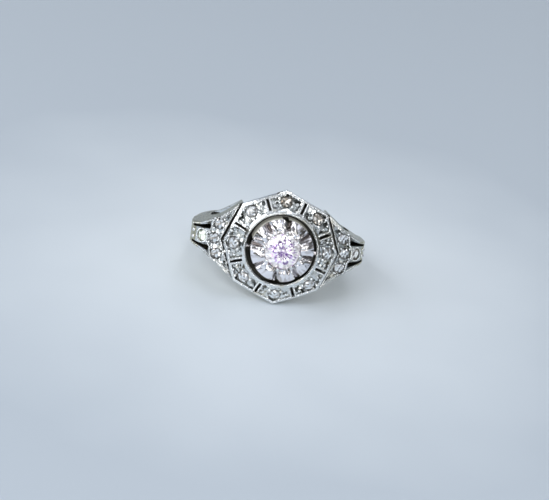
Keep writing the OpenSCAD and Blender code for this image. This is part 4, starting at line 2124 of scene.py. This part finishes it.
    def dress_stones(self, lay: RingLay, side: Side) -> None:
        """Gives the stones of one side their finish.

        Args:
            lay: how the ring lies.
            side: the side.
        """
        clear = CutStone()
        # the end stones have a painted glow; the left one a painted green-white glint
        end_stones = {
            Side.LEFT: CutStone(
                white=(0.94, 0.98, 0.94), fire=(0.72, 0.80, 0.70), deep=(0.22, 0.26, 0.21), painted_glow=0.7,
                rim_r=0.58,
            ),
            Side.RIGHT: CutStone(white=(0.86, 0.87, 0.86), painted_glow=0.3, rim_r=0.58),
        }
        cuts = [clear, clear, clear, end_stones[side]]
        for i, (cut, (x, y, _)) in enumerate(zip(cuts, self.stones)):
            at = side.flip() @ self.on_curve(x, y).translation
            place = lay.matrix() @ Matrix.Translation(at)
            cut.dress(f"{side.name.lower()}_stone_{i + 1}", place)

    def build(self, lay: RingLay, finishes: MetalFinishes) -> None:
        """Makes the pieces of both sides and dresses their stones.

        Args:
            lay: how the ring lies.
            finishes: the metal's finishes.
        """
        frame_work = self.frame_work()
        beads = self.beads()
        sides, hollows = finishes.worn, finishes.oxide_and_painted_shade
        # the right shoulder takes darker copies of the finishes as painted shade
        shading_by_side = {
            Side.LEFT: (finishes.polished, finishes.bright_cut, finishes.bright),
            Side.RIGHT: (finishes.dull, finishes.shaded_dull_cut, finishes.polished),
        }
        for side in Side:
            top, fields, trim = shading_by_side[side]
            name = side.name.lower()
            metal = frame_work.copy().moved(side.flip())
            metal.piece(f"{name}_shoulder_frame", lay, top, sides, hollows, fields)
            beads.copy().moved(side.flip()).piece(f"{name}_shoulder_beads", lay, trim)
            self.dress_stones(lay, side)


@dataclass
class Ring:
    """The whole ring: it builds its sub-assemblies in order."""

    lay: RingLay
    form: HeadForm = field(default_factory=HeadForm)

    def build(self) -> None:
        """Builds the sub-assemblies in order."""
        finishes = MetalFinishes.made(self.lay)
        shank = Shank()
        gallery = Gallery(self.form, shank.finger_r)
        dome = HaloDome(self.form)
        setting = IllusionSetting(self.form)
        shoulder = Shoulder(self.form, gallery)
        for part in (shank, gallery, dome, setting, shoulder):
            part.build(self.lay, finishes)


@dataclass(frozen=True)
class Softbox:
    """A flat light that faces the ring.

    Attributes:
        place: where it hangs, in metres.
        size: its width and height, in metres.
    """

    name: str
    place: Place
    size: Point
    watts: float
    tint: Colour = (1.0, 1.0, 1.0)

    def build(self) -> None:
        """Hangs the light."""
        data = bpy.data.lights.new(self.name, "AREA")
        data.shape = "RECTANGLE"
        data.size, data.size_y = self.size
        data.energy = self.watts
        data.color = self.tint
        light = bpy.data.objects.new(self.name, data)
        place = Vector(self.place)
        turn = place.to_track_quat("Z", "Y").to_matrix().to_4x4()
        light.matrix_world = Matrix.Translation(place) @ turn
        bpy.context.scene.collection.objects.link(light)


@dataclass
class Studio:
    """The camera, the floor and the soft light.

    Attributes:
        aim: the point of the head that the camera looks at, in the ring's frame.
        azimuth: turn of the camera round the ring, from the front to the right.
        elevation: its height over the floor, in degrees.
        roll: how far the picture is turned to the left, in degrees.
        distance: its distance from the head, in millimetres.
        pixels_per_mm: scale of the picture at the head.
        head_at: pixel of the photograph at which the head's middle shows.
        picture: width and height of the picture in pixels.
        lamps: azimuth and elevation of each small lamp.
        sky: height in the sky, from 0 at the horizon to 1, and colour there.
        patchiness: strength of the sky in its darkest and brightest patches.
        left_to_right: strength of the sky at the far left and the far right.
    """

    lay: RingLay
    aim: Place = (0.0, 0.0, 10.3)
    azimuth: float = -5.45
    elevation: float = 26.2
    roll: float = 9.4
    distance: float = 200.0
    pixels_per_mm: float = 8.99
    head_at: Point = (280.1, 247.3)
    picture: Point = (549.0, 500.0)
    softboxes: tuple[Softbox, ...] = (
        Softbox("window", (-0.5, -0.3, 0.45), (0.6, 0.4), 1.6, (0.95, 0.97, 1.0)),
        Softbox("fill", (0.5, -0.5, 0.3), (0.2, 0.3), 0.06, (1.0, 0.99, 0.97)),
        Softbox("back", (0.1, 0.5, 0.45), (0.6, 0.2), 0.12, (0.96, 0.98, 1.0)),
        Softbox("front", (-0.1, -0.6, 0.47), (0.35, 0.25), 1.1),
        Softbox("low", (0.0, -0.7, 0.16), (0.7, 0.12), 0.4),
    )
    lamps: tuple[Point, ...] = (
        (-60, 20), (-25, 12), (12, 18), (48, 14), (95, 30), (-110, 40), (160, 50), (20, 70), (-30, 50),
    )
    lamp_distance: float = 0.6
    lamp_size: float = 0.05
    lamp_watts: float = 0.09
    sky: tuple[tuple[float, Colour], ...] = (
        (0.0, (0.05, 0.05, 0.038)), (0.22, (0.12, 0.12, 0.105)), (0.5, (0.34, 0.36, 0.37)),
        (0.8, (0.66, 0.69, 0.74)),
    )
    patchiness: Point = (0.35, 1.65)
    left_to_right: Point = (1.3, 0.6)

    def camera(self) -> None:
        """Sets the camera at the photograph's viewing angle."""
        a, e, t = (math.radians(v) for v in (self.azimuth, self.elevation, self.roll))
        back = Vector((math.sin(a) * math.cos(e), -math.cos(a) * math.cos(e), math.sin(e)))
        level = Vector((math.cos(a), math.sin(a), 0.0))
        rise = back.cross(level)
        right = level * math.cos(t) + rise * math.sin(t)
        up = rise * math.cos(t) - level * math.sin(t)
        step = MILLIMETRE / self.pixels_per_mm
        off_x = (self.head_at[0] - self.picture[0] / 2) * step
        off_y = (self.picture[1] / 2 - self.head_at[1]) * step
        spot = self.lay.matrix() @ Vector(self.aim) - right * off_x - up * off_y
        data = bpy.data.cameras.new("camera")
        data.sensor_width = 36.0
        data.lens = self.pixels_per_mm * self.distance * data.sensor_width / self.picture[0]
        data.clip_start = 0.01
        data.clip_end = 20.0
        camera = bpy.data.objects.new("camera", data)
        turn = Matrix((right, up, back)).transposed().to_4x4()
        camera.matrix_world = Matrix.Translation(spot + back * self.distance * MILLIMETRE) @ turn
        bpy.context.scene.collection.objects.link(camera)
        bpy.context.scene.camera = camera

    def room(self) -> None:
        """Fills the room with soft light: bright above, dim and uneven round the horizon."""
        sheet = NodeSheet(bpy.data.worlds.new("room"), "Generated")
        x, _, z = sheet.parts(sheet.place)
        ramp = sheet.node("ShaderNodeValToRGB")
        sheet.link(z, ramp.inputs["Fac"])
        elements = ramp.color_ramp.elements
        while len(elements) < len(self.sky):
            elements.new(0.5)
        for element, (position, colour) in zip(elements, self.sky):
            element.position = position
            element.color = (*colour, 1.0)
        patches = sheet.noise(2.6, 1.0, rough=0.5)
        patchy = sheet.spread(patches, 0.42, 0.58, *self.patchiness)
        sideways = sheet.spread(x, -1.0, 1.0, *self.left_to_right)
        strength = sheet.math("MULTIPLY", patchy, sideways)
        sheet.link(strength, sheet.shader.inputs["Strength"])
        sheet.link(ramp.outputs["Color"], sheet.shader.inputs["Color"])
        bpy.context.scene.world = sheet.owner

    def build(self) -> None:
        """Builds the whole studio."""
        self.camera()
        PaleFloor().build()
        self.room()
        for softbox in self.softboxes:
            softbox.build()
        for i, (azimuth, elevation) in enumerate(self.lamps):
            turn, rise = math.radians(azimuth), math.radians(elevation)
            flat = math.cos(rise)
            out = Vector((math.sin(turn) * flat, -math.cos(turn) * flat, math.sin(rise)))
            place = tuple(out * self.lamp_distance)
            Softbox(f"lamp_{i + 1}", place, (self.lamp_size,) * 2, self.lamp_watts).build()
        bpy.context.scene.view_settings.view_transform = "Standard"


def main() -> None:
    """Builds the ring and its studio."""
    logging.basicConfig(level=logging.INFO, format="%(name)s: %(message)s")
    lay = RingLay.from_record(frame["record"])
    Ring(lay).build()
    Studio(lay).build()


if __name__ == "__main__":
    main()
